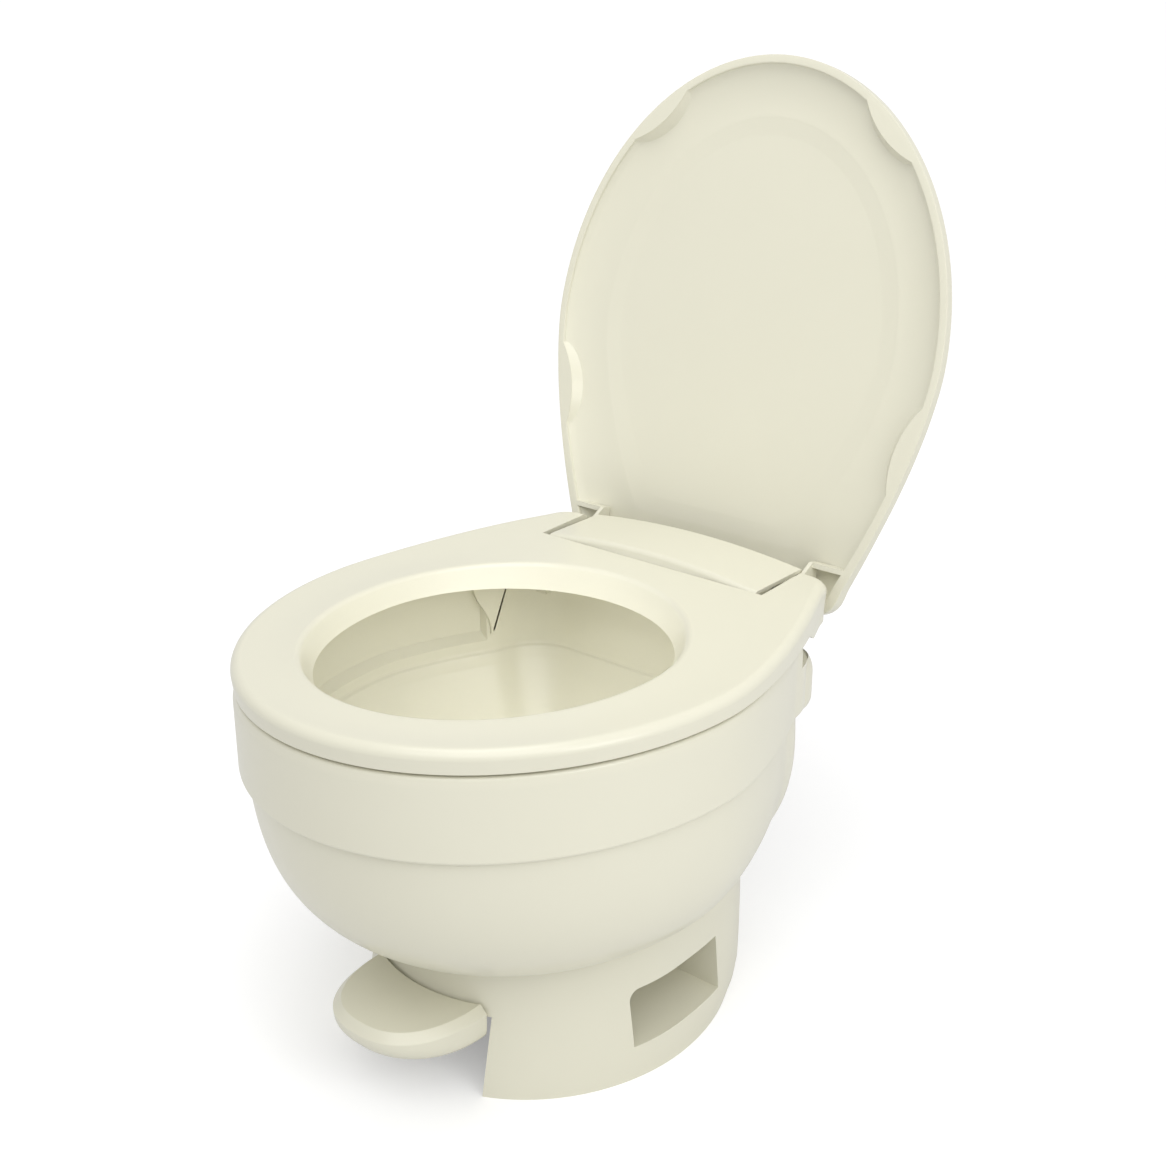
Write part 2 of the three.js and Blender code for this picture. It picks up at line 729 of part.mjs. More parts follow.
const tubePath = [
  [rodSide + valveHalfWidth + touchGap, valveMiddle, rodHeight],
  ...tubePlaces.map(([x, y], k) => [x, y, rodHeight + tubeRiseShares[k] * (breakerBottom - rodHeight)]),
  [breakerSide, breakerBack, breakerBottom - touchGap],
];
const skirt = loft([...skirtOuter(0), ...skirtOuter(wall).toReversed()], true);
const topSpace = rearSpace(wall + touchGap);
piece('bowl_skirt', skirt.subtract(topSpace).subtract(ductHole), 'shell');

// Bowl: height and inward shares of its wall, between its top and its throat
const bowlShares = [[1, 0], [0.7, 0.01], [0.64, 0.06], [0.52, 0.14], [0.4, 0.26], [0.27, 0.42],
  [0.15, 0.62], [0.06, 0.84], [0.02, 1]];
const throatPoints = (radius) => planOf(linerPlan).map(([x, y]) => {
  const shrink = radius / Math.hypot(x, y);
  return [x * shrink, y * shrink + ballBack];
});
const bowlWallLoops = (outset) => bowlShares.map(([up, inward]) => atHeight(
  mixed(planOf(linerPlan, -outset), throatPoints(throatRadius + outset), inward),
  flangeTop + up * (bowlTop - flangeTop) - outset * inward * (1 - up)));
const bowl = loft([
  ...bowlWallLoops(0),
  atHeight(throatPoints(throatRadius), flangeTop - flangeThick),
  atHeight(throatPoints(flangeRadius), flangeTop - flangeThick),
  atHeight(throatPoints(flangeRadius), flangeTop),
  atHeight(throatPoints(neckRadius), flangeTop),
  ...bowlWallLoops(wall).toReversed().slice(1),
], true);
const housingTop = flangeTop - flangeThick - touchGap;
const housingFlange = housingTop - flangeThick;
const flangeBolts = [];
for (const x of [-1, 1]) {
  for (const y of [-1, 1]) flangeBolts.push([x * flangeBoltReach, ballBack + y * flangeBoltReach]);
}
const boltHoles = flangeBolts.map((place) => rod('z', screwRadius + touchGap, housingFlange - cutOver,
  flangeTop + cutOver, place, boreSides));
const drilledBowl = boltHoles.reduce((solid, hole) => solid.subtract(hole), bowl);
piece('bowl', drilledBowl.subtract(topSpace).subtract(ductHole), 'shell');

// Hinge cover: sections across the hinge line, highest in the middle, on two posts
const coverSteps = 8;
const arcSteps = 5;
function coverSection(x) {
  const crown = coverCrown * (1 - (x / coverHalfWidth) ** 2);
  const frontTop = coverTop + crown;
  const rearTop = frontTop + coverSlope;
  const outer = [];
  for (let k = 0; k <= arcSteps; k++) {
    const height = coverSkirt + (k / arcSteps) * (frontTop - coverSkirt);
    outer.push([-Math.sqrt(coverReach ** 2 - height ** 2), height]);
  }
  outer.push([coverRear, rearTop], [coverRear, rearTop - coverLip]);
  const inner = [[coverRear - coverThick, rearTop - coverLip],
    [coverRear - coverThick, rearTop - coverThick]];
  for (let k = arcSteps; k >= 0; k--) {
    const height = coverSkirt + (k / arcSteps) * (frontTop - coverThick - coverSkirt);
    inner.push([-Math.sqrt((coverReach - coverThick) ** 2 - height ** 2), height]);
  }
  return [...outer, ...inner].map(([y, z]) => [x, hingeBack + y, hingeHeight + z]);
}
const coverLoops = [];
for (let k = 0; k <= coverSteps; k++) {
  coverLoops.push(coverSection(coverHalfWidth * (2 * k / coverSteps - 1)));
}
const baseTop = deckTop + touchGap + baseThick;
const coverPost = rod('z', postRadius, baseTop + touchGap, hingeHeight + coverTop + bury,
  [postSide, hingeBack]);
piece('hinge_cover', loft(coverLoops, false).add(both(coverPost)), 'shell');

const cheek = box(coverHalfWidth - cheekThick, coverHalfWidth - touchGap, baseFront, baseRear,
  deckTop + touchGap, baseTop + bury)
  .add(slab([
    [baseFront, baseTop],
    [baseRear, baseTop],
    [hingeBack + cheekRadius, hingeHeight],
    [hingeBack, hingeHeight + cheekRadius],
    [hingeBack - cheekRadius, hingeHeight],
  ], coverHalfWidth - cheekThick, coverHalfWidth - touchGap));
const bracketBase = box(-coverHalfWidth + cheekThick, coverHalfWidth - cheekThick, baseFront,
  baseRear, deckTop + touchGap, baseTop);
const cheekHole = rod('x', pinRadius + touchGap, postSide, coverHalfWidth, hingeAxis);
piece('hinge_bracket', bracketBase.add(both(cheek)).subtract(both(cheekHole)), 'inner');
const headEnd = coverHalfWidth - cheekThick - touchGap;
const hingePin = rod('x', pinHead, headEnd - pinHeadThick, headEnd, hingeAxis)
  .add(rod('x', pinRadius, headEnd - pinHeadThick, pinEnd, hingeAxis));
piece('hinge_pin_right', hingePin, 'steel');
piece('hinge_pin_left', mirrored(hingePin), 'steel');

// Lid, drawn shut and level over the seat and then turned open about the hinge line
const lidPlan = {
  half: lidHalfWidth,
  front: seatFront,
  rear: seatRear,
  rearHalf: lidRearHalfWidth,
  corner: lidCorner,
};
const lidRim = hingeHeight + lidRimOverHinge;
const lidEdge = (inset, height) => planOf(lidPlan, inset).map(([x, y]) => [
  x, y, lidRim + height * (1 + lidRearFull * THREE.MathUtils.smoothstep(y, holeRear, seatRear))]);
const lidMiddle = (share, height) => atHeight(
  planOf(lidPlan, domeInset).map(([x, y]) => [x * share, y * share]), lidRim + height);
const panelHeight = lidRimDepth - lidWall;
const lidShell = loft([
  lidMiddle(0.5, panelHeight + panelDish),
  lidMiddle(1, panelHeight + panelDish / 2),
  lidEdge(lidRimWidth + panelEdge, panelHeight),
  lidEdge(lidRimWidth + lidWall / 2, panelHeight / 2),
  lidEdge(lidRimWidth, 0),
  lidEdge(0, 0),
  lidEdge(0, lidRimDepth - lidWall),
  lidEdge(lidWall / 2, lidRimDepth),
  lidEdge(domeInset / 2, lidRimDepth + lidDome / 2),
  lidMiddle(1, lidRimDepth + lidDome),
  lidMiddle(0.5, lidRimDepth + lidDome + panelDish / 2),
], false);
const lidBody = loft([lidEdge(lidWall, 0), lidEdge(lidWall, lidRimDepth - lidWall / 2)], false);
const land = (x, y) => lidBody.intersect(rod('z', landRadius, lidRim - cutOver, lidRim + lidRimDepth,
  [x, y], wideSides));
const lands = both(land(...landFront)).add(both(land(...landRear)));
const earSide = [
  [hingeBack - earRadius, hingeHeight],
  [hingeBack, hingeHeight - earRadius],
  [hingeBack + earRadius, hingeHeight],
  [hingeBack + earRadius, lidRim + panelHeight + bury],
  [ribBack, lidRim + panelHeight + bury],
  [ribBack, lidRim],
];
const earInner = coverHalfWidth + earGap;
const ear = slab(earSide, earInner, earInner + earThick)
  .add(box(earInner, ribEnd, ribBack, ribBack + ribThick, lidRim, lidRim + panelHeight + bury))
  .subtract(rod('x', pinRadius + runGap, earInner - cutOver, ribEnd, hingeAxis));
const earZone = box(earInner, earInner + earThick, ribBack, seatRear, hingeHeight - earRadius,
  lidRim + panelHeight);
const swingSide = coverHalfWidth + earGap / 2;
const lid = lidShell.add(lands).add(both(ear.intersect(lidBody.add(earZone))))
  .subtract(rod('x', coverSwing, -swingSide, swingSide, hingeAxis, sweepSides));
const lidFrame = new THREE.Group();
lidFrame.position.set(0, hingeBack, hingeHeight);
lidFrame.rotation.x = lidTilt - lidOpen;
toilet.add(lidFrame);
piece('lid', lid.translate([0, -hingeBack, -hingeHeight]), 'shell', lidFrame);

// Pedestal: hollow, open below, with a niche over each floor bolt and a cut for the pedal
const footShares = [0, 0.35, 0.7, 1];
function footLoop(inset, height, share) {
  const half = footHalfWidth + share * (waistHalfWidth - footHalfWidth) - inset;
  const front = footFront + share * (waistFront - footFront) - inset;
  const rear = footRear + share * (waistRear - footRear) - inset;
  const points = [];
  for (let k = 0; k < footSides; k++) {
    const angle = (k / footSides) * 2 * Math.PI;
    const y = Math.sin(angle) * (Math.sin(angle) < 0 ? front : rear);
    points.push([half * Math.cos(angle), footBack + y, height]);
  }
  return points;
}
const footStack = (inset, bottom, top) => loft(footShares.map((share) => footLoop(
  inset, bottom + share * (top - bottom), (bottom + share * (top - bottom)) / pedestalTop)), false);
const footWidth = footHalfWidth + cutOver;
const nicheCut = slab([
  [nicheFront, shelfHeight],
  [nicheRear, shelfHeight],
  [nicheRear, nicheTop],
  [nicheFront + nicheCorner, nicheTop],
  [nicheFront, nicheTop - nicheCorner],
], nicheDepthTo, footWidth);
const nicheShell = box(nicheDepthTo - nicheWall, footWidth, nicheFront - nicheWall,
  nicheRear + nicheWall,
  shelfHeight - nicheWall, nicheTop + nicheWall);
const pedalCut = box(-pedalCutHalfWidth, pedalCutHalfWidth, footBack - footFront - cutOver, shaftBack,
  -cutOver, pedalCutTop);
const valveShelfTop = rodHeight - valveHalfHeight - touchGap;
const shelf = box(rodSide - valveHalfWidth - bury, rodSide + valveHalfWidth + bury, valveFront - bury,
  footBack + footRear, valveShelfTop - valveShelf, valveShelfTop);
const nippleHole = rod('y', nippleRadius + touchGap, valveRear, footBack + footRear + cutOver,
  valveAxis);
const boltHole = rod('z', boltRadius + runGap, 0, shelfHeight + bury, [boltSpan, ballBack], boreSides);
const pedestalOuter = footStack(0, 0, pedestalTop);
const topHole = loft([...skirtOuter(-touchGap), skirtLoop(-touchGap, lastSkirtShare)], false);
const pedestal = pedestalOuter
  .subtract(footStack(wall, -cutOver, pedestalTop - wall).subtract(both(nicheShell)).subtract(shelf))
  .subtract(both(nicheCut))
  .subtract(pedalCut)
  .subtract(topHole)
  .subtract(loft([footLoop(topLand, pedestalTop - wall - cutOver, 1),
    footLoop(topLand, pedestalTop + cutOver, 1)], false))
  .subtract(both(boltHole))
  .subtract(nippleHole)
  .subtract(swept(tubePath, tubeRadius + runGap, 0, pathSteps));
piece('pedestal', pedestal, 'shell');

// Floor bolts with washers and nuts on the niche shelves
const boltFoot = shelfHeight - nicheWall - touchGap - boltHeadThick;
for (const [side, x] of [['left', -boltSpan], ['right', boltSpan]]) {
  const bolt = rod('z', boltHeadRadius, boltFoot, boltFoot + boltHeadThick, [x, ballBack], smallSides)
    .add(rod('z', boltRadius, boltFoot, boltEnd, [x, ballBack], smallSides));
  piece(`closet_bolt_${side}`, bolt, 'steel');
  const washerTop = shelfHeight + touchGap + washerThick;
  const boltClear = rod('z', boltRadius + touchGap, 0, boltEnd, [x, ballBack], smallSides);
  const washer = rod('z', washerRadius, shelfHeight + touchGap, washerTop,
    [x, ballBack]).subtract(boltClear);
  piece(`bolt_washer_${side}`, washer, 'steel');
  const nut = rod('z', nutCorner, washerTop + touchGap, washerTop + touchGap + nutThick,
    [x, ballBack], hexSides).subtract(boltClear);
  piece(`closet_nut_${side}`, nut, 'steel');
}

// Pedal: tread, arm and hub on a shaft, with a gear sector on the right and a crank on the left
const treadShare = treadTop / pedestalTop;
const wallHalf = footHalfWidth + treadShare * (waistHalfWidth - footHalfWidth);
const wallFront = footFront + treadShare * (waistFront - footFront);
const wallAt = (x) => footBack - wallFront * Math.sqrt(1 - (x / wallHalf) ** 2);
function treadLoop(inset, rearInset, height) {
  const points = [];
  const half = treadHalfWidth - inset;
  for (let k = 0; k <= treadSteps; k++) {
    const angle = (k / treadSteps) * Math.PI;
    const x = half * Math.cos(angle);
    points.push([x, treadSide - (treadSide - treadFront - inset) * Math.sin(angle), height]);
  }
  for (let k = 1; k < treadSteps; k++) {
    const x = half * (2 * k / treadSteps - 1);
    points.push([x, wallAt(x) - treadWallGap - rearInset, height]);
  }
  return points;
}
const treadBottom = treadTop - treadThick;
const treadStack = loft([
  treadLoop(treadRound, 0, treadBottom),
  treadLoop(treadRound / 3, 0, treadBottom + treadRound / 2),
  treadLoop(0, 0, treadBottom + treadRound),
  treadLoop(0, 0, treadTop - treadChamfer),
  treadLoop(treadChamfer, 0, treadTop),
], false);
const armTop = pedalCutTop - runGap;
const arm = box(-armHalfWidth, armHalfWidth, treadSide - armLap, shaftBack, armTop - armThick, armTop)
  .add(rod('x', hubRadius, -armHalfWidth, armHalfWidth, shaftAxis, wideSides));
const shaftHole = rod('x', shaftRadius + touchGap, -armHalfWidth - cutOver, armHalfWidth + cutOver,
  shaftAxis);
piece('pedal', treadStack.add(arm).subtract(shaftHole), 'shell');
piece('pedal_shaft', rod('x', shaftRadius, shaftLeft, shaftRight, shaftAxis), 'steel');

// Outline of a toothed wheel from one tooth number to another; tooth 0 points along the angle given
function toothOutline(teeth, first, last, phase) {
  const pitch = (gearModule * teeth) / 2;
  const base = pitch * Math.cos(pressure);
  const involute = (angle) => Math.tan(angle) - angle;
  const halfAt = (radius) => Math.PI / 2 / teeth - backlash / 4 / pitch + involute(pressure)
    - involute(Math.acos(Math.min(base / radius, 1)));
  const root = pitch - gearModule * rootShare;
  const tip = pitch + gearModule;
  const outline = [];
  for (let k = first; k <= last; k++) {
    const middle = phase + (k / teeth) * 2 * Math.PI;
    for (const [radius, side] of [[root, -1], [base, -1], [pitch, -1], [tip, -1], [tip, 1],
      [pitch, 1], [base, 1], [root, 1]]) {
      const angle = middle + side * halfAt(Math.max(radius, base));
      if (radius !== base || base > root) {
        outline.push([radius * Math.cos(angle), radius * Math.sin(angle)]);
      }
    }
  }
  return outline;
}
const wheel = (outline, [y, z]) => slab(outline.map(([u, v]) => [y + u, z + v]), gearLeft,
  gearLeft + gearThick);
const sectorTeeth = pinionTeeth * sectorRatio;
const sectorOutline = [...toothOutline(sectorTeeth, sectorFirst, sectorLast, Math.PI / sectorTeeth),
  [0, hubRadius], [-hubRadius, 0], [0, -hubRadius]];
const shaftBore = rod('x', shaftRadius + touchGap, gearLeft - cutOver, shaftRight, shaftAxis);
piece('pedal_gear', wheel(sectorOutline, shaftAxis).subtract(shaftBore), 'acetal');
const crankFrom = shaftLeft + crankStep;
const crankRight = crankFrom + crankThick;
const crank = slab([
  [shaftBack - hubRadius, shaftHeight],
  [shaftBack, shaftHeight - hubRadius],
  [shaftBack + hubRadius, shaftHeight],
  [shaftBack + crankPin + bury, shaftHeight + crankHeight + crankPin],
  [shaftBack - crankPin - bury, shaftHeight + crankHeight + crankPin],
], crankFrom, crankRight)
  .add(rod('x', crankPin, rodSide - rodThick / 2 - bury, crankRight,
    [shaftBack, shaftHeight + crankHeight]))
  .subtract(rod('x', shaftRadius + touchGap, shaftLeft - cutOver, crankRight + cutOver, shaftAxis));
piece('crank', crank, 'steel');

// Ball valve: a thin ball cut to a cap on two cheeks, on trunnions in a round housing under the bowl
const ballCentre = (solid) => solid.translate([0, ballBack, ballHeight]);
const ballOf = (radius) => {
  const sphere = new THREE.SphereGeometry(radius, sphereSides, sphereSides / 2);
  return ballCentre(solidOf(sphere.rotateX(Math.PI / 2)));
};
const ballBox = (x0, x1, z0, z1) => box(x0, x1, ballBack - ballRadius - cutOver,
  ballBack + ballRadius + cutOver,
  ballHeight + z0, ballHeight + z1);
const capCut = ballBox(-ballRadius, ballRadius, ballCap, ballRadius + bury)
  .add(both(ballBox(ballCheek, ballRadius + bury, -ballCheekDrop, ballRadius)));
const trunnion = rod('x', trunnionRadius, ballRadius - ballCheekLap, trunnionEnd, ballAxis);
const ballShell = ballOf(ballRadius).subtract(ballOf(ballRadius - ballWall));
const ball = ballShell.intersect(capCut).add(both(trunnion));
piece('valve_ball', ball, 'acetal');
const pinionBore = rod('x', trunnionRadius + touchGap, gearLeft - cutOver, trunnionEnd + cutOver,
  ballAxis);
const pinion = wheel(toothOutline(pinionTeeth, 0, pinionTeeth - 1, Math.PI),
  ballAxis).subtract(pinionBore);
piece('ball_pinion', pinion, 'acetal');

const housingInner = ballRadius + housingGap;
const housingOuter = housingInner + housingWall;
const bossEnd = gearLeft - bossGap;
const boss = rod('x', bossRadius, housingInner, bossEnd, ballAxis);
const bracketSide = [
  [shaftBack - eyeRadius, shaftHeight],
  [shaftBack, shaftHeight - eyeRadius],
  [shaftBack + eyeRadius, shaftHeight - eyeRadius / 2],
  [ballBack, ballHeight - bossRadius],
  [ballBack, housingTop],
  [ballBack - eyeRadius, housingTop],
  [shaftBack, shaftHeight + eyeRadius],
];
const bracket = slab(bracketSide, bracketLeft, bracketLeft + bracketThick)
  .add(rod('x', eyeRadius, bracketLeft, bracketLeft + bracketThick, shaftAxis, wideSides));
const bushHole = rod('x', bushRadius + touchGap, bracketLeft - cutOver,
  bracketLeft + bracketThick + cutOver, shaftAxis);
const trunnionHole = rod('x', trunnionRadius + runGap, 0, gearLeft, ballAxis);
const outlet = rod('z', outletRadius, outletFoot, ballHeight - outletRadius / 2, ballPlace, wideSides);
const housing = boltHoles.reduce((solid, hole) => solid.subtract(hole), ballOf(housingOuter)
  .add(rod('z', housingFlangeRadius, housingFlange, housingTop, ballPlace, wideSides))
  .add(outlet)
  .add(both(boss))
  .add(both(bracket)))
  .subtract(ballOf(housingInner))
  .subtract(rod('z', sealRadius + touchGap, ballHeight + ballCap, flangeTop, ballPlace, wideSides))
  .subtract(rod('z', throatRadius, outletFoot - cutOver, ballHeight, ballPlace, wideSides))
  .subtract(box(-flangeRadius, flangeRadius, ballBack - flangeRadius, ballBack + flangeRadius,
    housingTop, ballHeight + housingOuter + cutOver))
  .subtract(both(bushHole))
  .subtract(both(trunnionHole));
piece('valve_housing', housing, 'black');
const sealFoot = (radius) => ballHeight + Math.sqrt((ballRadius + runGap) ** 2 - radius ** 2);
piece('bowl_seal', turned([
  [throatRadius, sealFoot(throatRadius)],
  [sealRadius, sealFoot(sealRadius)],
  [sealRadius, housingTop],
  [throatRadius, housingTop],
  [throatRadius, sealFoot(throatRadius)],
], ballPlace, wideSides), 'rubber');
piece('outlet_gasket', turned([
  [outletRadius + touchGap, gasketFoot],
  [gasketRadius, gasketFoot],
  [gasketRadius, gasketTop],
  [outletRadius + touchGap, gasketTop],
  [outletRadius + touchGap, gasketFoot],
], ballPlace, wideSides), 'rubber');
flangeBolts.forEach((place, k) => {
  const screw = rod('z', screwRadius, housingFlange - touchGap - screwHeadThick, flangeTop - bury / 2,
    place, boreSides)
    .add(rod('z', screwHead, housingFlange - touchGap - screwHeadThick, housingFlange - touchGap,
      place, boreSides));
  piece(`flange_screw_${k + 1}`, screw, 'steel');
});
const bushing = rod('x', bushRadius, bracketLeft, bracketLeft + bracketThick, shaftAxis)
  .subtract(rod('x', shaftRadius + touchGap, bracketLeft - cutOver,
    bracketLeft + bracketThick + cutOver, shaftAxis));
piece('pedal_bushing_right', bushing, 'acetal');
piece('pedal_bushing_left', mirrored(bushing), 'acetal');
const springPath = [];
for (let k = 0; k <= springTurns * springSteps; k++) {
  const angle = (k / springSteps) * 2 * Math.PI;
  const x = springLeft + (springRight - springLeft) * (k / (springTurns * springSteps));
  springPath.push([x, shaftBack + springRadius * Math.cos(angle),
    shaftHeight + springRadius * Math.sin(angle)]);
}
piece('return_spring', swept(springPath, springWire / 2, 0, springTurns * springSteps, 3), 'steel');

// Water parts: valve with its plunger rod, inlet, tube, vacuum breaker, flush tube and nozzle
const slotTop = rodHeight + rodHeadHalf - slotWall;
const rodEnd = shaftBack + rodHeadHalf;
const valveRod = slab([
  [shaftBack - rodHeadHalf, rodHeight - rodHeadDrop],
  [rodEnd, rodHeight - rodHeadDrop],
  [rodEnd, rodHeight - rodHalfHeight],
  [stemFront, rodHeight - rodHalfHeight],
  [stemFront, rodHeight + rodHalfHeight],
  [rodEnd, rodHeight + rodHalfHeight],
  [rodEnd, rodHeight + rodHeadHalf],
  [shaftBack - rodHeadHalf, rodHeight + rodHeadHalf],
], rodSide - rodThick / 2, rodSide + rodThick / 2)
  .subtract(box(rodSide - rodThick, rodSide + rodThick, shaftBack - crankPin - runGap,
    shaftBack + crankPin + runGap,
    rodHeight - rodHeadDrop + slotWall, slotTop));
piece('valve_rod', valveRod, 'steel');
const valveBody = box(rodSide - valveHalfWidth, rodSide + valveHalfWidth, valveFront, valveRear,
  rodHeight - valveHalfHeight, rodHeight + valveHalfHeight)
  .subtract(rod('y', valveBore, valveFront - cutOver, valveRear - wall, valveAxis))
  .subtract(rod('y', nippleBore, valveMiddle, valveRear + cutOver, valveAxis))
  .subtract(rod('x', tubeRadius - tubeWall, rodSide, rodSide + valveHalfWidth + cutOver,
    [valveMiddle, rodHeight]));
piece('water_valve_body', valveBody, 'acetal');
piece('valve_plunger', rod('y', valveBore - runGap, plungerFront, plungerFront + plungerThick,
  valveAxis)
  .add(rod('y', stemRadius, stemFront + touchGap, plungerFront + bury, valveAxis)), 'brass');
piece('valve_cap', rod('y', valveHalfHeight, valveFront - touchGap - capThick, valveFront - touchGap,
  valveAxis)
  .subtract(rod('y', stemRadius + runGap, stemFront, valveFront, valveAxis)), 'acetal');
piece('supply_nipple', rod('y', nippleRadius, valveRear + touchGap, nippleEnd, valveAxis)
  .add(rod('y', nippleCollar, valveRear + touchGap, valveRear + touchGap + collarThick, valveAxis))
  .subtract(rod('y', nippleBore, valveRear - cutOver, nippleEnd + cutOver, valveAxis)), 'acetal');
piece('swivel_nut', rod('y', nutRadius, nutFront, nutRear, valveAxis, hexSides)
  .subtract(rod('y', nippleRadius + runGap, nutFront - cutOver, nutRear + cutOver, valveAxis)),
    'black');
piece('supply_tube', swept(tubePath, tubeRadius, tubeRadius - tubeWall, tubeSteps, tubeSides), 'tube');
const breaker = turned([
  [0, breakerBottom],
  [breakerRadius, breakerBottom],
  [breakerRadius, breakerTop - capThick - touchGap],
  [breakerRadius - breakerWall, breakerTop - capThick - touchGap],
  [breakerRadius - breakerWall, breakerBottom + breakerWall],
  [0, breakerBottom + breakerWall],
], breakerPlace)
  .add(rod('y', spigotRadius, spigotEnd, breakerBack - breakerRadius + bury,
    [breakerSide, spigotHeight]))
  .subtract(rod('y', ductRadius - tubeWall, spigotEnd - cutOver, breakerBack,
    [breakerSide, spigotHeight]))
  .subtract(rod('z', tubeRadius - tubeWall, breakerBottom - cutOver, breakerBottom + cutOver,
    breakerPlace));
piece('vacuum_breaker_body', breaker, 'acetal');
const capVents = [];
for (let k = 0; k < ventCount; k++) {
  const angle = (k / ventCount) * 2 * Math.PI;
  const place = [breakerSide + ventReach * Math.cos(angle), breakerBack + ventReach * Math.sin(angle)];
  capVents.push(rod('z', ventRadius, breakerTop - capThick - cutOver, breakerTop + cutOver, place,
    boreSides));
}
piece('breaker_cap', capVents.reduce((solid, vent) => solid.subtract(vent),
  rod('z', breakerRadius, breakerTop - capThick, breakerTop, breakerPlace, wideSides)), 'acetal');
piece('breaker_float', rod('z', floatRadius, floatRest - floatThick, floatRest, breakerPlace), 'black');
piece('flush_tube', swept(ductPath, ductRadius, ductRadius - tubeWall, tubeSteps, tubeSides), 'tube');
const nozzleFoot = ([x, y], z) => [nozzleSide + x, nozzleBack + y, z];
const nozzle = loft([
  nozzlePlan.map((place) => nozzleFoot(place, bowlTop - touchGap)),
  nozzlePlan.map((place) => nozzleFoot(place, nozzleShoulder)),
  nozzlePlan.map(([x, y]) => nozzleFoot(
    [x * nozzleTipShare - nozzleTipShift, y * nozzleTipShare], nozzleTip)),
], false);
const bowlInside = loft(bowlWallLoops(-touchGap), false);
piece('flush_nozzle', nozzle.intersect(bowlInside), 'shell');

const extent = new THREE.Box3().setFromObject(toilet, true);
toilet.position.y = -(extent.min.y + extent.max.y) / 2;

export default toilet;
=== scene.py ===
import math

import bpy
import numpy as np
from mathutils import Matrix, Vector


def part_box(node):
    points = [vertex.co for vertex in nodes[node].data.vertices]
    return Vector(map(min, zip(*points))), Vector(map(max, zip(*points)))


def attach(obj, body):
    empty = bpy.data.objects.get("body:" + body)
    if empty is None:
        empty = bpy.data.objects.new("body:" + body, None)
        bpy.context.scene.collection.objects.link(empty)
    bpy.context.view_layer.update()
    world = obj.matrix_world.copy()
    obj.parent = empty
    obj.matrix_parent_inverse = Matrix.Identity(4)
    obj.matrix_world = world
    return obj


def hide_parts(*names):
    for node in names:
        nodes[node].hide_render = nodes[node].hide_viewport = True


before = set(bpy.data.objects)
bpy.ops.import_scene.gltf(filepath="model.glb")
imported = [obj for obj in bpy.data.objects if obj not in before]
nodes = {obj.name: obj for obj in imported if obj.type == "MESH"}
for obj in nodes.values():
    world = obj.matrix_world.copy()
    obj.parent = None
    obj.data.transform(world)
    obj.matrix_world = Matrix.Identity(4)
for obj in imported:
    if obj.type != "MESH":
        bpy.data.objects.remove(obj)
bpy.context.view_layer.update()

# Lengths are in millimetres with y = 0 at the widest section of the seat; toFrame puts them in the frame
metresPerMillimetre = 0.001
seatFrontEdge = 218.0
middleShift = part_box("seat")[0][1] + seatFrontEdge * metresPerMillimetre


def toFrame(points):
    # Millimetres to metres, and the widest section of the seat to its place in the frame
    placed = np.asarray(points, float) * metresPerMillimetre
    placed[..., 1] += middleShift
    return placed


# Camera, fitted to the outlines of the seat, the lid and the foot

camera = {
    "place": (722.2, -781.7, 760.1),
    "right": (0.7639, 0.6453, 0.0),
    "up": (-0.2299, 0.2722, 0.9344),
    "back": (0.6030, -0.7138, 0.3563),
    "lens": 49.117,
    "sensor": 36.0,
    "shift": (-0.0042, -0.0054),
}


def buildCamera():
    # Camera at its place, turned so that its axes are right, up and back
    axes = Matrix((camera["right"], camera["up"], camera["back"])).transposed()
    turn = axes.to_quaternion().to_matrix().to_4x4()
    data = bpy.data.cameras.new("camera")
    data.lens = camera["lens"]
    data.sensor_width = camera["sensor"]
    data.sensor_fit = "HORIZONTAL"
    data.shift_x, data.shift_y = camera["shift"]
    shown = bpy.data.objects.new("camera", data)
    shown.matrix_world = Matrix.Translation(toFrame(camera["place"])) @ turn
    bpy.context.scene.collection.objects.link(shown)
    bpy.context.scene.camera = shown


buildCamera()
print("stage: camera")

# Floor and light

studio = {
    "worldStrength": 0.66,
    "floorHalf": 400.0,
    "floorColor": (0.8, 0.8, 0.805, 1.0), "floorRoughness": 0.9, "floorSpecular": 0.1,
    # light that the floor shows to the camera alone, so that it looks white and lights the object less
    "floorGlow": 0.28,
    # the soft key comes from the right front, over the camera
    "keyFrom": (0.5, -0.52, 1.0), "keyWidth": 55.0, "keyStrength": 1.1,
}
# Discs of light, in metres: over the seat, beside the lid, and under the seat's front towards the far wall
panels = (
    {"place": (0.0, -0.12, 1.5), "aim": (0.0, -0.12, 0.0), "width": 0.7, "power": 3.4, "reflected": True},
    {"place": (1.0, -0.2, 0.7), "aim": (0.0, 0.05, 0.3), "width": 0.5, "power": 2.1, "reflected": True},
    {"place": (0.09, -0.08, 0.27), "aim": (-0.1, 0.08, 0.285), "width": 0.07, "power": 0.14,
     "reflected": False},
)
# Narrow lamp through the seat's opening onto the bowl's far wall
bowlLamp = {
    "place": (0.16, -0.85, 1.2), "aim": (0.0, -0.03, 0.31), "cone": 10.5, "blend": 0.5, "width": 0.05,
    "power": 4.0,
}


def forCamera(tree, target, seen, other):
    # Value of a socket: seen where the camera looks at it, other for all other rays
    path = tree.nodes.new("ShaderNodeLightPath")
    value = tree.nodes.new("ShaderNodeMath")
    value.operation = "MULTIPLY_ADD"
    value.inputs[1].default_value = seen - other
    value.inputs[2].default_value = other
    tree.links.new(path.outputs["Is Camera Ray"], value.inputs[0])
    tree.links.new(value.outputs[0], target)


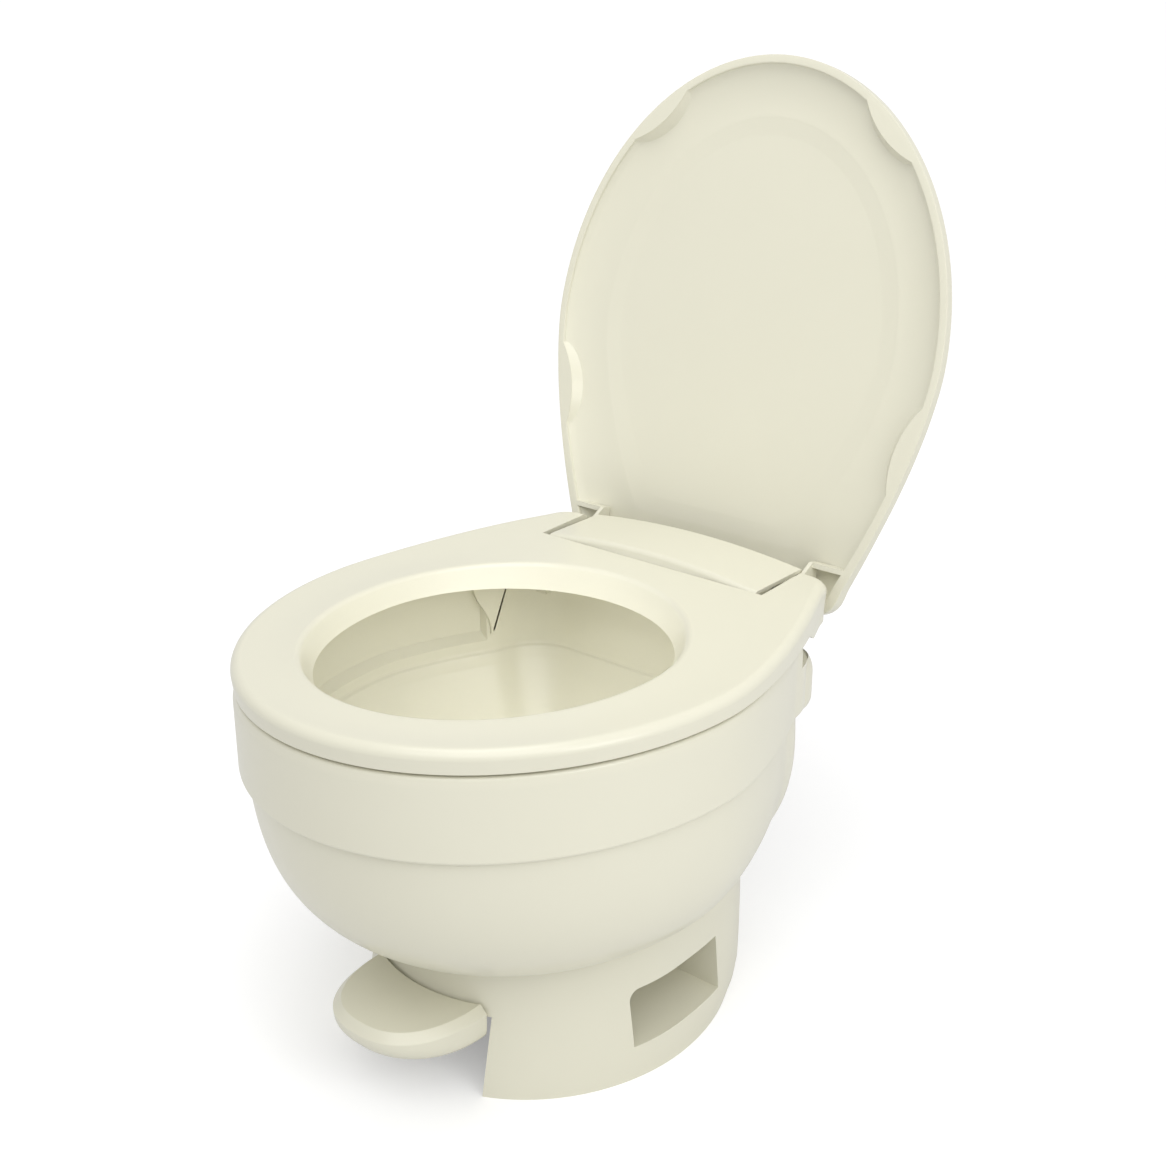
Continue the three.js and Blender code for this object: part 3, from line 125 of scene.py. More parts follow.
def buildWorld():
    # Even white light from all round
    world = bpy.data.worlds.new("studio")
    world.use_nodes = True
    background = world.node_tree.nodes["Background"]
    background.inputs["Color"].default_value = (1.0, 1.0, 1.0, 1.0)
    forCamera(world.node_tree, background.inputs["Strength"], 1.0, studio["worldStrength"])
    bpy.context.scene.world = world
    bpy.context.scene.view_settings.view_transform = "Standard"


def buildFloor():
    # Matt square at height 0 that glows for the camera alone
    half = studio["floorHalf"]
    mesh = bpy.data.meshes.new("floor")
    corners = [(-half, -half, 0), (half, -half, 0), (half, half, 0), (-half, half, 0)]
    mesh.from_pydata(corners, [], [(0, 1, 2, 3)])
    floor = bpy.data.objects.new("floor", mesh)
    bpy.context.scene.collection.objects.link(floor)
    material = bpy.data.materials.new("floor")
    material.use_nodes = True
    shader = material.node_tree.nodes["Principled BSDF"]
    shader.inputs["Base Color"].default_value = studio["floorColor"]
    shader.inputs["Roughness"].default_value = studio["floorRoughness"]
    shader.inputs["Specular IOR Level"].default_value = studio["floorSpecular"]
    shader.inputs["Emission Color"].default_value = (1.0, 1.0, 1.0, 1.0)
    forCamera(material.node_tree, shader.inputs["Emission Strength"], studio["floorGlow"], 0.0)
    mesh.materials.append(material)


def hangLamp(light, place, aim, reflected):
    # Lamp turned towards its aim; one that isn't reflected isn't seen either
    lamp = bpy.data.objects.new(light.name, light)
    lamp.location = place
    lamp.rotation_euler = (Vector(place) - Vector(aim)).to_track_quat("Z", "Y").to_euler()
    lamp.visible_glossy = reflected
    lamp.visible_camera = reflected
    bpy.context.scene.collection.objects.link(lamp)


def buildLamps():
    # Sun for the key, discs for the panels and a spot for the bowl
    key = bpy.data.lights.new("key", "SUN")
    key.angle = math.radians(studio["keyWidth"])
    key.energy = studio["keyStrength"]
    hangLamp(key, studio["keyFrom"], (0.0, 0.0, 0.0), True)
    for values in panels:
        panel = bpy.data.lights.new("panel", "AREA")
        panel.shape = "DISK"
        panel.size = values["width"]
        panel.energy = values["power"]
        hangLamp(panel, values["place"], values["aim"], values["reflected"])
    spot = bpy.data.lights.new("bowl", "SPOT")
    spot.spot_size = math.radians(bowlLamp["cone"])
    spot.spot_blend = bowlLamp["blend"]
    spot.shadow_soft_size = bowlLamp["width"]
    spot.energy = bowlLamp["power"]
    hangLamp(spot, bowlLamp["place"], bowlLamp["aim"], False)


buildWorld()
buildFloor()
buildLamps()
print("stage: floor and light")

# Materials

skinLook = {
    "patchDetail": 4.0, "hazeScale": 38.0, "hazeDetail": 3.0, "skinDetail": 2.0, "bumpDistance": 0.0002,
}
coatRoughness = 0.12


def surfaceGroup():
    # Slow change of colour, slow change of roughness and a fine skin, all on object coordinates:
    # colour = base mixed towards the tint by large noise, roughness = base + amount * (noise - 0.5)
    group = bpy.data.node_groups.new("mouldedSkin", "ShaderNodeTree")
    sockets = {
        "INPUT": {"Color": "Color", "Tint": "Color", "Patch Scale": "Float", "Roughness": "Float",
                  "Roughness Change": "Float", "Skin Scale": "Float", "Skin Height": "Float",
                  "Stretch": "Vector"},
        "OUTPUT": {"Color": "Color", "Roughness": "Float", "Normal": "Vector"},
    }
    for way, kinds in sockets.items():
        for name, kind in kinds.items():
            group.interface.new_socket(name, in_out=way, socket_type="NodeSocket" + kind)
    make = group.nodes.new
    link = group.links.new
    given = make("NodeGroupInput")
    result = make("NodeGroupOutput")
    place = make("ShaderNodeTexCoord")
    mapping = make("ShaderNodeMapping")
    link(place.outputs["Object"], mapping.inputs["Vector"])
    link(given.outputs["Stretch"], mapping.inputs["Scale"])

    def noise(detail):
        made = make("ShaderNodeTexNoise")
        made.inputs["Detail"].default_value = detail
        link(mapping.outputs["Vector"], made.inputs["Vector"])
        return made

    patch = noise(skinLook["patchDetail"])
    link(given.outputs["Patch Scale"], patch.inputs["Scale"])
    blend = make("ShaderNodeMix")
    blend.data_type = "RGBA"
    link(patch.outputs["Fac"], blend.inputs["Factor"])
    # inputs 6 and 7 and output 2 of this node are its colours
    link(given.outputs["Color"], blend.inputs[6])
    link(given.outputs["Tint"], blend.inputs[7])
    link(blend.outputs[2], result.inputs["Color"])
    haze = noise(skinLook["hazeDetail"])
    haze.inputs["Scale"].default_value = skinLook["hazeScale"]
    centred = make("ShaderNodeMath")
    centred.operation = "SUBTRACT"
    link(haze.outputs["Fac"], centred.inputs[0])
    centred.inputs[1].default_value = 0.5
    scaled = make("ShaderNodeMath")
    scaled.operation = "MULTIPLY_ADD"
    link(centred.outputs[0], scaled.inputs[0])
    link(given.outputs["Roughness Change"], scaled.inputs[1])
    link(given.outputs["Roughness"], scaled.inputs[2])
    link(scaled.outputs[0], result.inputs["Roughness"])
    skin = noise(skinLook["skinDetail"])
    link(given.outputs["Skin Scale"], skin.inputs["Scale"])
    bump = make("ShaderNodeBump")
    bump.inputs["Distance"].default_value = skinLook["bumpDistance"]
    link(given.outputs["Skin Height"], bump.inputs["Strength"])
    link(skin.outputs["Fac"], bump.inputs["Height"])
    link(bump.outputs["Normal"], result.inputs["Normal"])
    return group


skinGroup = surfaceGroup()

# Values of each finish; metal and coat are set on the shader itself
finishes = {
    "bonePlastic": {
        "color": (0.715, 0.698, 0.575), "tint": (0.69, 0.672, 0.548), "patch": 7.0, "roughness": 0.3,
        "change": 0.08, "skin": 520.0, "height": 0.06, "coat": 0.1,
    },
    "innerPlastic": {
        "color": (0.74, 0.72, 0.60), "tint": (0.70, 0.68, 0.56), "patch": 20.0, "roughness": 0.48,
        "change": 0.12, "skin": 900.0, "height": 0.25,
    },
    "whitePlastic": {
        "color": (0.80, 0.80, 0.78), "tint": (0.74, 0.74, 0.71), "patch": 25.0, "roughness": 0.42,
        "change": 0.12, "skin": 900.0, "height": 0.2,
    },
    "blackPlastic": {
        "color": (0.02, 0.02, 0.022), "tint": (0.032, 0.032, 0.034), "patch": 30.0, "roughness": 0.45,
        "change": 0.15, "skin": 1100.0, "height": 0.35,
    },
    "rubber": {
        "color": (0.018, 0.018, 0.018), "tint": (0.035, 0.034, 0.033), "patch": 45.0, "roughness": 0.78,
        "change": 0.2, "skin": 1400.0, "height": 0.5,
    },
    "steel": {
        "color": (0.58, 0.59, 0.60), "tint": (0.48, 0.49, 0.50), "patch": 60.0, "roughness": 0.32,
        "change": 0.2, "skin": 1600.0, "height": 0.2, "metal": 1.0, "stretch": (0.15, 1.0, 1.0),
    },
    "brass": {
        "color": (0.62, 0.45, 0.20), "tint": (0.50, 0.35, 0.15), "patch": 60.0, "roughness": 0.3,
        "change": 0.2, "skin": 1600.0, "height": 0.2, "metal": 1.0, "stretch": (1.0, 0.15, 1.0),
    },
    "hose": {
        "color": (0.60, 0.63, 0.61), "tint": (0.52, 0.55, 0.53), "patch": 30.0, "roughness": 0.35,
        "change": 0.12, "skin": 800.0, "height": 0.15, "coat": 0.1,
    },
}


def buildFinish(name):
    # Material with the moulded skin before the shader's colour, roughness and normal
    values = finishes[name]
    material = bpy.data.materials.new(name)
    material.use_nodes = True
    tree = material.node_tree
    shader = tree.nodes["Principled BSDF"]
    skin = tree.nodes.new("ShaderNodeGroup")
    skin.node_tree = skinGroup
    skin.inputs["Color"].default_value = (*values["color"], 1.0)
    skin.inputs["Tint"].default_value = (*values["tint"], 1.0)
    for socket, key in (
            ("Patch Scale", "patch"), ("Roughness", "roughness"), ("Roughness Change", "change"),
            ("Skin Scale", "skin"), ("Skin Height", "height")):
        skin.inputs[socket].default_value = values[key]
    skin.inputs["Stretch"].default_value = values.get("stretch", (1.0, 1.0, 1.0))
    for output, target in (("Color", "Base Color"), ("Roughness", "Roughness"), ("Normal", "Normal")):
        tree.links.new(skin.outputs[output], shader.inputs[target])
    shader.inputs["Metallic"].default_value = values.get("metal", 0.0)
    shader.inputs["Coat Weight"].default_value = values.get("coat", 0.0)
    shader.inputs["Coat Roughness"].default_value = coatRoughness
    return material


materials = {name: buildFinish(name) for name in finishes}
print("stage: materials")

# Shapes as closed grids


def indexGrid(rows, count, ring):
    # Quads between each loop and the next, counted round the loop
    row = np.arange(rows if ring else rows - 1)[:, None]
    column = np.arange(count)[None, :]
    following = (column + 1) % count
    nextRow = (row + 1) % rows
    corners = (row * count + column, row * count + following,
               nextRow * count + following, nextRow * count + column)
    return np.stack(np.broadcast_arrays(*corners), -1).reshape(-1, 4)


def signedVolume(points, faces):
    # Sum over each face's fan of a . (b x c)
    total = 0.0
    for face in faces:
        fan = points[np.asarray(face)]
        total += np.sum(np.cross(fan[1:-1], fan[2:]) @ fan[0])
    return total


def solid(points, faces):
    # New object from closed faces, turned right side out
    flat = points.reshape(-1, 3)
    if signedVolume(flat, faces) < 0:
        faces = [face[::-1] for face in faces]
    mesh = bpy.data.meshes.new("solid")
    mesh.from_pydata(toFrame(flat).tolist(), [], [list(map(int, face)) for face in faces])
    made = bpy.data.objects.new("solid", mesh)
    bpy.context.scene.collection.objects.link(made)
    return made


def loft(loops, ring=False):
    # Loops of points with one count: a ring of loops, or a stack with a cap at each end
    loops = np.asarray(loops, float)
    rows, count = loops.shape[:2]
    faces = list(indexGrid(rows, count, ring))
    if not ring:
        faces += [np.arange(count)[::-1], np.arange(count) + (rows - 1) * count]
    return solid(loops, faces)


def block(x0, x1, y0, y1, z0, z1):
    # Box between two corners
    low = [(x0, y0, z0), (x1, y0, z0), (x1, y1, z0), (x0, y1, z0)]
    high = [(x, y, z1) for x, y, _ in low]
    return loft([low, high])


def rod(axis, radius, start, end, across, sides=96):
    # Circle of the radius about the two coordinates across the axis, carried from start to end
    angle = np.linspace(0, 2 * np.pi, sides, endpoint=False)
    u = across[0] + radius * np.cos(angle)
    v = across[1] + radius * np.sin(angle)
    loops = []
    for along in (start, end):
        w = np.full(sides, float(along))
        loops.append(np.stack({"x": (w, u, v), "y": (u, w, v), "z": (u, v, w)}[axis], 1))
    return loft(loops)


def slab(outline, start, end):
    # Outline of (y, z) points carried along x
    flat = np.asarray(outline, float)
    return loft([np.column_stack([np.full(len(flat), float(x)), flat]) for x in (start, end)])


def workIn(made):
    # Makes what the modifiers show the object's own mesh
    depsgraph = bpy.context.evaluated_depsgraph_get()
    made.data = bpy.data.meshes.new_from_object(made.evaluated_get(depsgraph))
    made.modifiers.clear()


def combine(target, tools, operation):
    # Adds the tools to the target, takes them away or keeps what lies inside them; the tools are used up
    for tool in tools:
        modifier = target.modifiers.new("join", "BOOLEAN")
        modifier.operation = operation
        modifier.solver = "MANIFOLD"
        modifier.object = tool
    workIn(target)
    for tool in tools:
        bpy.data.objects.remove(tool)
    return target


def add(target, *tools):
    return combine(target, tools, "UNION")


def cut(target, *tools):
    return combine(target, tools, "DIFFERENCE")


def keep(target, *tools):
    return combine(target, tools, "INTERSECT")


shading = {"sharp": 34.0, "bevelSegments": 2, "weight": 80, "keptSharp": 32.0, "mergeDistance": 0.00001}


def piece(made, name, finish, body, slotName, *replaced, edge=0.0):
    # Names the object, rounds its edges, gives it its finish, hangs it under its body and hides the nodes
    # it stands for
    sharp = math.radians(shading["sharp"])
    made.name = name
    made.data.name = name
    made.data.materials.clear()
    made.data.materials.append(materials[finish])
    if edge:
        bevel = made.modifiers.new("edge", "BEVEL")
        bevel.width = edge * metresPerMillimetre
        bevel.segments = shading["bevelSegments"]
        bevel.limit_method = "ANGLE"
        bevel.angle_limit = sharp
        workIn(made)
    made.data.shade_smooth()
    made.data.set_sharp_from_angle(angle=sharp)
    weighted = made.modifiers.new("weighted", "WEIGHTED_NORMAL")
    weighted.keep_sharp = True
    weighted.weight = shading["weight"]
    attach(made, body)
    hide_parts(*replaced)


def evened(loop, count, soften):
    # Closed loop set out at even steps, then smoothed by a bell of the given width along it
    closed = np.vstack([loop, loop[:1]])
    length = np.concatenate([[0], np.cumsum(np.linalg.norm(np.diff(closed, axis=0), axis=1))])
    steps = np.linspace(0, length[-1], count, endpoint=False)
    even = np.stack([np.interp(steps, length, closed[:, axis]) for axis in range(2)], 1)
    wave = np.fft.rfftfreq(count, d=length[-1] / count) * 2 * np.pi
    spectrum = np.fft.rfft(even, axis=0) * np.exp(-0.5 * (wave * soften) ** 2)[:, None]
    return np.fft.irfft(spectrum, n=count, axis=0)


plans = {"points": 256, "soften": 4.0, "taper": 1.6, "leastCorner": 3.0}


def planOf(size, inset=0.0):
    # Half ellipse in front; sides half - (half - rearHalf) * (y / rear) ** taper; round rear corners
    half = size["half"] - inset
    front = size["front"] - inset
    rear = size["rear"] - inset
    narrow = size["half"] - size["rearHalf"]
    corner = max(size["corner"] - inset, plans["leastCorner"])
    angle = np.linspace(0, np.pi / 2, 120)
    ahead = np.stack([half * np.sin(angle), -front * np.cos(angle)], 1)
    sideEnd = rear - corner
    y = np.linspace(0, sideEnd, 90)[1:]
    beside = np.stack([half - narrow * (y / rear) ** plans["taper"], y], 1)
    cornerX = half - narrow * (sideEnd / rear) ** plans["taper"] - corner
    angle = np.linspace(0, np.pi / 2, 24)[1:]
    rounded = np.stack([cornerX + corner * np.cos(angle), sideEnd + corner * np.sin(angle)], 1)
    right = np.vstack([ahead, beside, rounded])
    left = right[:0:-1] * (-1, 1)
    return evened(np.vstack([right, left]), plans["points"], plans["soften"])


def rolled(steps=8):
    # Quarter round as inward and downward shares, from its foot to its top
    angle = np.linspace(0, np.pi / 2, steps + 1)
    return np.stack([1 - np.cos(angle), 1 - np.sin(angle)], 1)


def level(plan, height):
    # Plan of (x, y) points at one height, or at one height for each point
    return np.column_stack([plan, np.broadcast_to(height, len(plan))])


def smoothStep(value, low, high):
    # From 0 at low to 1 at high, level at both ends: 3 * share ** 2 - 2 * share ** 3
    share = np.clip((value - low) / (high - low), 0, 1)
    return share * share * (3 - 2 * share)


def bothSides(inner, outer):
    # Left and right range between two distances from the middle
    return (-outer, -inner), (inner, outer)


def smoothPath(points, count):
    # Points set out evenly along a Catmull-Rom curve through the given ones
    given = np.asarray(points, float)
    ends = np.vstack([2 * given[0] - given[1], given, 2 * given[-1] - given[-2]])
    t = np.linspace(0, 1, 24, endpoint=False)[:, None]
    spans = []
    for k in range(len(given) - 1):
        a, b, c, d = ends[k:k + 4]
        square = 2 * a - 5 * b + 4 * c - d
        cube = 3 * b - a - 3 * c + d
        spans.append(0.5 * (2 * b + (c - a) * t + square * t ** 2 + cube * t ** 3))
    dense = np.vstack([*spans, given[-1:]])
    length = np.concatenate([[0], np.cumsum(np.linalg.norm(np.diff(dense, axis=0), axis=1))])
    steps = np.linspace(0, length[-1], count)
    return np.stack([np.interp(steps, length, dense[:, axis]) for axis in range(3)], 1)


def tube(points, radius, count=72, sides=32):
    # Circles across the path, on two directions that are carried along it
    path = smoothPath(points, count)
    ways = np.gradient(path, axis=0)
    ways /= np.linalg.norm(ways, axis=1)[:, None]
    first = np.cross(ways, (0.12, 0.31, 0.94))  # a direction that no path here runs along
    first /= np.linalg.norm(first, axis=1)[:, None]
    second = np.cross(ways, first)
    angle = np.linspace(0, 2 * np.pi, sides, endpoint=False)
    circles = np.cos(angle)[None, :, None] * first[:, None] + np.sin(angle)[None, :, None] * second[:, None]
    return loft(path[:, None] + radius * circles)


# Seat: a rolled ring with two rear arms round the hinge cover

seatSizes = {
    "half": 189.0, "front": 218.0, "rear": 203.0, "rearHalf": 130.0, "corner": 20.0,
    "top": 320.0, "thick": 16.0, "draft": 1.0, "dip": 1.0, "rise": 7.0, "round": 7.0,
    "recess": 8.0, "land": 9.0,
    "holeHalf": 122.0, "holeFront": 143.0, "holeRear": 120.0, "holeBack": -20.0,
    "holeRound": 6.0, "holeLean": 9.0,
    # arms: how far they reach down, places measured from the seat's rear, and the notch between them
    "armDrop": 8.0, "armFront": 73.0, "slopeFront": 62.0, "slopeRear": 43.0, "beyond": 5.0,
    "armInner": 109.2, "notchLow": 250.0, "notchHigh": 360.0,
}
# Hinge line, the radius of the notch round it in the seat, and the bores for its pins
hinge = {"back": 190.0, "height": 307.0, "notch": 48.5, "bore": 4.6, "boreInner": 102.8, "boreOuter": 127.6}
farSide = 200.0  # beyond every piece, for tools that reach right through
seatPlan = planOf(seatSizes)
seatBottom = seatSizes["top"] - seatSizes["thick"]
hingeAxis = (hinge["back"], hinge["height"])


def seatTopAt(y):
    # The top rises from the widest section to the rear: top + rise * smoothStep
    return seatSizes["top"] + seatSizes["rise"] * smoothStep(y, 0, seatSizes["rear"])


def holeLoop(outset):
    # Two half ellipses about the hole's centre, met along the direction of each point of the seat's plan
    x = seatPlan[:, 0]
    back = seatPlan[:, 1] - seatSizes["holeBack"]
    reach = np.where(back < 0, seatSizes["holeFront"], seatSizes["holeRear"]) + outset
    shrink = 1 / np.hypot(x / (seatSizes["holeHalf"] + outset), back / reach)
    return np.stack([x * shrink, seatSizes["holeBack"] + back * shrink], 1)


def fromTop(plan, drop):
    # Plan laid at an even depth below the seat's top
    return level(plan, seatTopAt(plan[:, 1]) - drop)


def buildSeat():
    # Ring of loops over the top and back along the underside, with the arms added
    size = seatSizes
    outer = [fromTop(planOf(size, a * size["round"]), b * size["round"]) for a, b in rolled()]
    # the hole's wall leans inward as it goes down, and its top edge is an arc that meets both faces
    lean = math.atan2(size["thick"], size["holeLean"])
    start = size["draft"] + size["holeLean"] + size["holeRound"] * math.tan(lean / 2)
    inner = []
    for turn in np.linspace(0, lean, 9):
        loop = holeLoop(start - size["holeRound"] * math.sin(turn))
        inner.append(fromTop(loop, size["holeRound"] * (1 - math.cos(turn))))
    across = []
    for share in np.linspace(0, 1, 9)[1:-1]:
        loop = outer[-1] + (inner[0] - outer[-1]) * share
        loop[:, 2] = seatTopAt(loop[:, 1]) - size["dip"] * np.sin(np.pi * share)
        across.append(loop)
    # the underside is hollowed out between two lands
    under = size["land"] + size["draft"]
    ceiling = seatBottom + size["recess"]
    seat = loft([
        level(planOf(size, size["draft"]), seatBottom), *outer, *across, *inner,
        level(holeLoop(size["draft"]), seatBottom), level(holeLoop(size["land"]), seatBottom),
        level(holeLoop(under), ceiling), level(planOf(size, under), ceiling),
        level(planOf(size, size["land"]), seatBottom),
    ], ring=True)
    armBottom = seatBottom - size["armDrop"]
    armFront = size["rear"] - size["armFront"]
    end = size["rear"] + size["beyond"]
    arms = loft([level(planOf(size, size["draft"]), z) for z in (armBottom, size["top"] - size["round"])])
    share = np.linspace(0, 1, 12)
    slopeBack = size["rear"] - size["slopeFront"] + (size["slopeFront"] - size["slopeRear"]) * share
    slope = zip(slopeBack, seatBottom - size["armDrop"] * smoothStep(share, 0, 1))
    sideView = [(armFront, seatBottom), *slope, (end, armBottom), (end, size["top"])]
    arms = keep(arms, slab([*sideView, (armFront, size["top"])], -farSide, farSide))
    inner = size["armInner"]
    notch = add(rod("x", hinge["notch"], -inner, inner, hingeAxis, 180),
                block(-inner, inner, hinge["back"], end, size["notchLow"], size["notchHigh"]))
    bores = [rod("x", hinge["bore"], *ends, hingeAxis)
             for ends in bothSides(hinge["boreInner"], hinge["boreOuter"])]
    seat = cut(add(seat, arms), notch, *bores)
    piece(seat, "seatRing", "bonePlastic", "seat_body", "shell", "seat", edge=1.5)


buildSeat()
print("stage: seat")

# Sizes of the bowl and its skirt, which the rim goes round

bowlTop = 296.2
bowlSizes = {
    "half": 156.0, "front": 182.0, "rear": 144.0, "rearHalf": 98.0, "corner": 42.0, "wall": 11.0,
    "throat": 33.0, "throatBack": 22.0, "flange": 60.0, "flangeTop": 105.0, "flangeThick": 5.0,
    # height and inward shares of the wall, from its top to its throat, with a small step near the middle
    "up": (1.0, 0.72, 0.665, 0.657, 0.649, 0.636, 0.6, 0.52, 0.4, 0.27, 0.15, 0.06, 0.02),
    "inward": (0.0, 0.008, 0.014, 0.02, 0.036, 0.046, 0.07, 0.14, 0.26, 0.42, 0.62, 0.84, 1.0),
    # the left wall stands back above a sloping ledge, as far round as the spout: insets at heights over
    # the ledge, and the box that this recess keeps to
    "ledge": 240.5, "recess": ((4.0, -3.2), (0.5, 0.0), (-3.3, 4.2), (-5.0, 6.5), (-5.0, 57.7)),
    "recessBox": (-farSide, -2.0, -140.0, 93.0, 230.0, 300.0),
}
skirtSizes = {
    "half": 185.2, "front": 212.0, "rear": 170.0, "rearHalf": 124.5, "corner": 43.0,
    "shoulder": 240.0, "base": 90.0, "shift": 16.0, "fullness": 3.0, "wall": 4.0, "lowest": 0.95,
    "crowding": 1.5, "clearance": 0.3,
}

# Rim: band, deck and rear shroud

rimSizes = {
    "half": 187.5, "front": 216.5, "rear": 174.0, "rearHalf": 129.0, "corner": 45.0,
    "top": 301.5, "height": 61.0, "edge": 3.0, "grow": 1.4, "growFrom": 9.0, "round": 3.0,
    "opening": (282.0, 306.0),
}
shroudSizes = {
    "half": 132.0, "front": 110.0, "rear": 207.0, "corner": 30.0, "top": 272.0, "bottom": 220.0,
    "round": 12.0, "topRound": 20.0, "wall": 4.0, "beyond": 5.0,
}
deck = {
    "half": 103.1, "top": 288.0, "floor": (-103.1, 103.1, 162.0, 195.0, 266.0, 288.0),
    # the room over it, and beside it the rooms for the arms, which sweep about the hinge line
    "front": 150.0, "rear": 212.0, "high": 330.0, "armOverlap": 2.0, "armOuter": 196.0,
    "armFront": 138.0, "armLow": 280.0, "sweep": 27.0, "wall": 4.0, "clearance": 0.3,
}
# Way of the flush water from the vacuum breaker to the spout, and the breaker's hole in the shroud;
# here and below, boxes are (left, right, front, rear, low, high) and round holes are what rod is given
duct = {
    "bore": 6.6,
    "path": ((-40, 199.7, 240), (-40, 194, 240), (-46, 187, 241), (-62, 184, 246), (-84, 180, 254),
             (-104, 168, 260), (-118, 150, 264), (-128, 134, 266), (-135, 118, 266)),
    "breaker": ("y", 8.3, 190.0, 212.0, (-40.0, 240.0)),
}


def shroudPlan(inset):
    # Straight sides with quarter circles at the rear corners
    size = shroudSizes
    half = size["half"] - inset
    far = size["rear"] - inset
    corner = size["corner"] - inset
    angle = np.linspace(0, np.pi / 2, 17)
    rounded = np.stack([half - corner + corner * np.cos(angle), far - corner + corner * np.sin(angle)], 1)
    right = np.vstack([[half, size["front"]], rounded])
    return np.vstack([right, right[::-1] * (-1, 1)])


def rearSpace(grow):
    # Room over the deck and under the raised arms, larger by grow
    side = deck["half"]
    room = block(-side, side, deck["front"] - grow, deck["rear"], deck["top"] - grow, deck["high"])
    tools = []
    for ends in bothSides(side - deck["armOverlap"] - grow, deck["armOuter"]):
        front, low = deck["armFront"] - grow, deck["armLow"] - grow
        tools.append(block(*ends, front, deck["rear"], low, deck["high"]))
        tools.append(rod("x", deck["sweep"] + grow, *ends, hingeAxis, 120))
    return add(room, *tools)


def skirtLoops(inset):
    # Scale (1 - share ** 3) ** (1 / 3) of the upright plan, set back as it goes down; the shares of the
    # height, lowest * (1 - (1 - step) ** 1.5), lie closer together further down
    size = skirtSizes
    plan = planOf(size, inset)
    loops = [level(plan, bowlTop)]
    for share in size["lowest"] * (1 - (1 - np.linspace(0, 1, 32)) ** size["crowding"]):
        scale = (1 - share ** size["fullness"]) ** (1 / size["fullness"])
        height = size["shoulder"] - share * (size["shoulder"] - size["base"]) + max(inset, 0) * share
        loops.append(level(plan * scale + (0, size["shift"] * share), height))
    return loops


def buildRim():
    # Stacks of plans with quarter rounds at their edges, less the rooms inside
    size = rimSizes
    foot = size["top"] - size["height"]
    grow = size["grow"]
    edge, turn = size["edge"], size["round"]
    stack = [level(planOf(size, a * edge), size["top"] - b * edge) for a, b in rolled(6)[::-1]]
    stack += [level(planOf(size, -grow), size["top"] - size["growFrom"])]
    stack += [level(planOf(size, a * turn - grow), foot + b * turn) for a, b in rolled(6)]
    top, bottom, wall = shroudSizes["top"], shroudSizes["bottom"], shroudSizes["wall"]
    edge, turn = shroudSizes["topRound"], shroudSizes["round"]
    shroud = [level(shroudPlan(a * edge), top - b * edge) for a, b in rolled()[::-1]]
    shroud += [level(shroudPlan(a * turn), bottom + b * turn) for a, b in rolled()]
    inside = [level(shroudPlan(wall), z) for z in (bottom - shroudSizes["beyond"], top - wall)]
    rim = cut(add(loft(stack), loft(shroud), block(*deck["floor"])), loft(inside))
    # the room for the skirt leaves a wall round the rooms of the arms
    clearance = skirtSizes["clearance"]
    void = skirtLoops(-clearance)
    void[0][:, 2] += clearance
    rim = cut(rim, cut(loft(void), rearSpace(deck["wall"])))
    opening = loft([level(planOf(bowlSizes), z) for z in size["opening"]])
    rim = cut(rim, opening, rearSpace(0), tube(duct["path"], duct["bore"]), rod(*duct["breaker"]))
    piece(rim, "rimBand", "bonePlastic", "base", "shell", "rim_ring", edge=0.8)


buildRim()
print("stage: rim")

# Skirt: outer shell of the bowl


def buildSkirt():
    # Shell of even thickness between two stacks of loops
    shell = loft(skirtLoops(0) + skirtLoops(skirtSizes["wall"])[::-1], ring=True)
    skirt = cut(shell, rearSpace(deck["wall"] + deck["clearance"]), tube(duct["path"], duct["bore"]))
    piece(skirt, "bowlSkirt", "bonePlastic", "base", "shell", "bowl_skirt")


buildSkirt()
print("stage: skirt")

# Bowl, and the spout of the flush water high on its left

spoutSizes = {
    "side": -122.0, "back": 94.5, "turn": 60.0, "top": 295.9, "tip": 246.0, "deep": 40.0, "wide": 31.0,
    # swing of its left edge, least width, widening backward, depth in the bowl's wall
    "swing": 0.07, "least": 0.3, "widening": 2.0, "sunk": 4.0,
    "gap": 1.7, "gapDeep": 26.0, "gapEnd": 0.97,
}


def throatLoop(radius):
    # Circle with its points in the directions of the bowl's plan
    plan = planOf(bowlSizes)
    return plan * (radius / np.linalg.norm(plan, axis=1))[:, None] + (0, bowlSizes["throatBack"])


def bowlLoops(outset):
    # The upright plan drawn towards the round throat by the inward share
    size = bowlSizes
    steps = np.linspace(0, len(size["up"]) - 1, 97)
    ups = np.interp(steps, np.arange(len(size["up"])), size["up"])
    inwards = np.interp(steps, np.arange(len(size["up"])), size["inward"])
    wide, narrow = planOf(size, -outset), throatLoop(size["throat"] + outset)
    loops = []
    for up, inward in zip(ups, inwards):
        height = size["flangeTop"] + up * (bowlTop - size["flangeTop"]) - outset * inward * (1 - up)
        loops.append(level(wide + (narrow - wide) * inward, height))
    return loops


def spoutWay():
    # Direction of the spout's face, seen from above
    turn = math.radians(spoutSizes["turn"])
    return np.array((math.cos(turn), math.sin(turn)))


def spoutGap():
    # Thin slot in the wall beside the straight edge of the spout, along the line of sight past that edge
    size = spoutSizes
    along = spoutWay()
    sight = -np.array(camera["back"][:2]) / np.linalg.norm(camera["back"][:2])
    across = np.array((-sight[1], sight[0])) * -size["gap"]
    deep = sight * size["gapDeep"]
    loops = []
    for share in (0.0, size["gapEnd"]):
        edge = np.array((size["side"], size["back"])) + along * size["wide"] * 0.5 * (1 - share)
        plan = np.array([edge, edge + across, edge + across + deep, edge + deep])
        loops.append(level(plan, size["top"] + (size["tip"] - size["top"]) * share))
    return loft(loops)


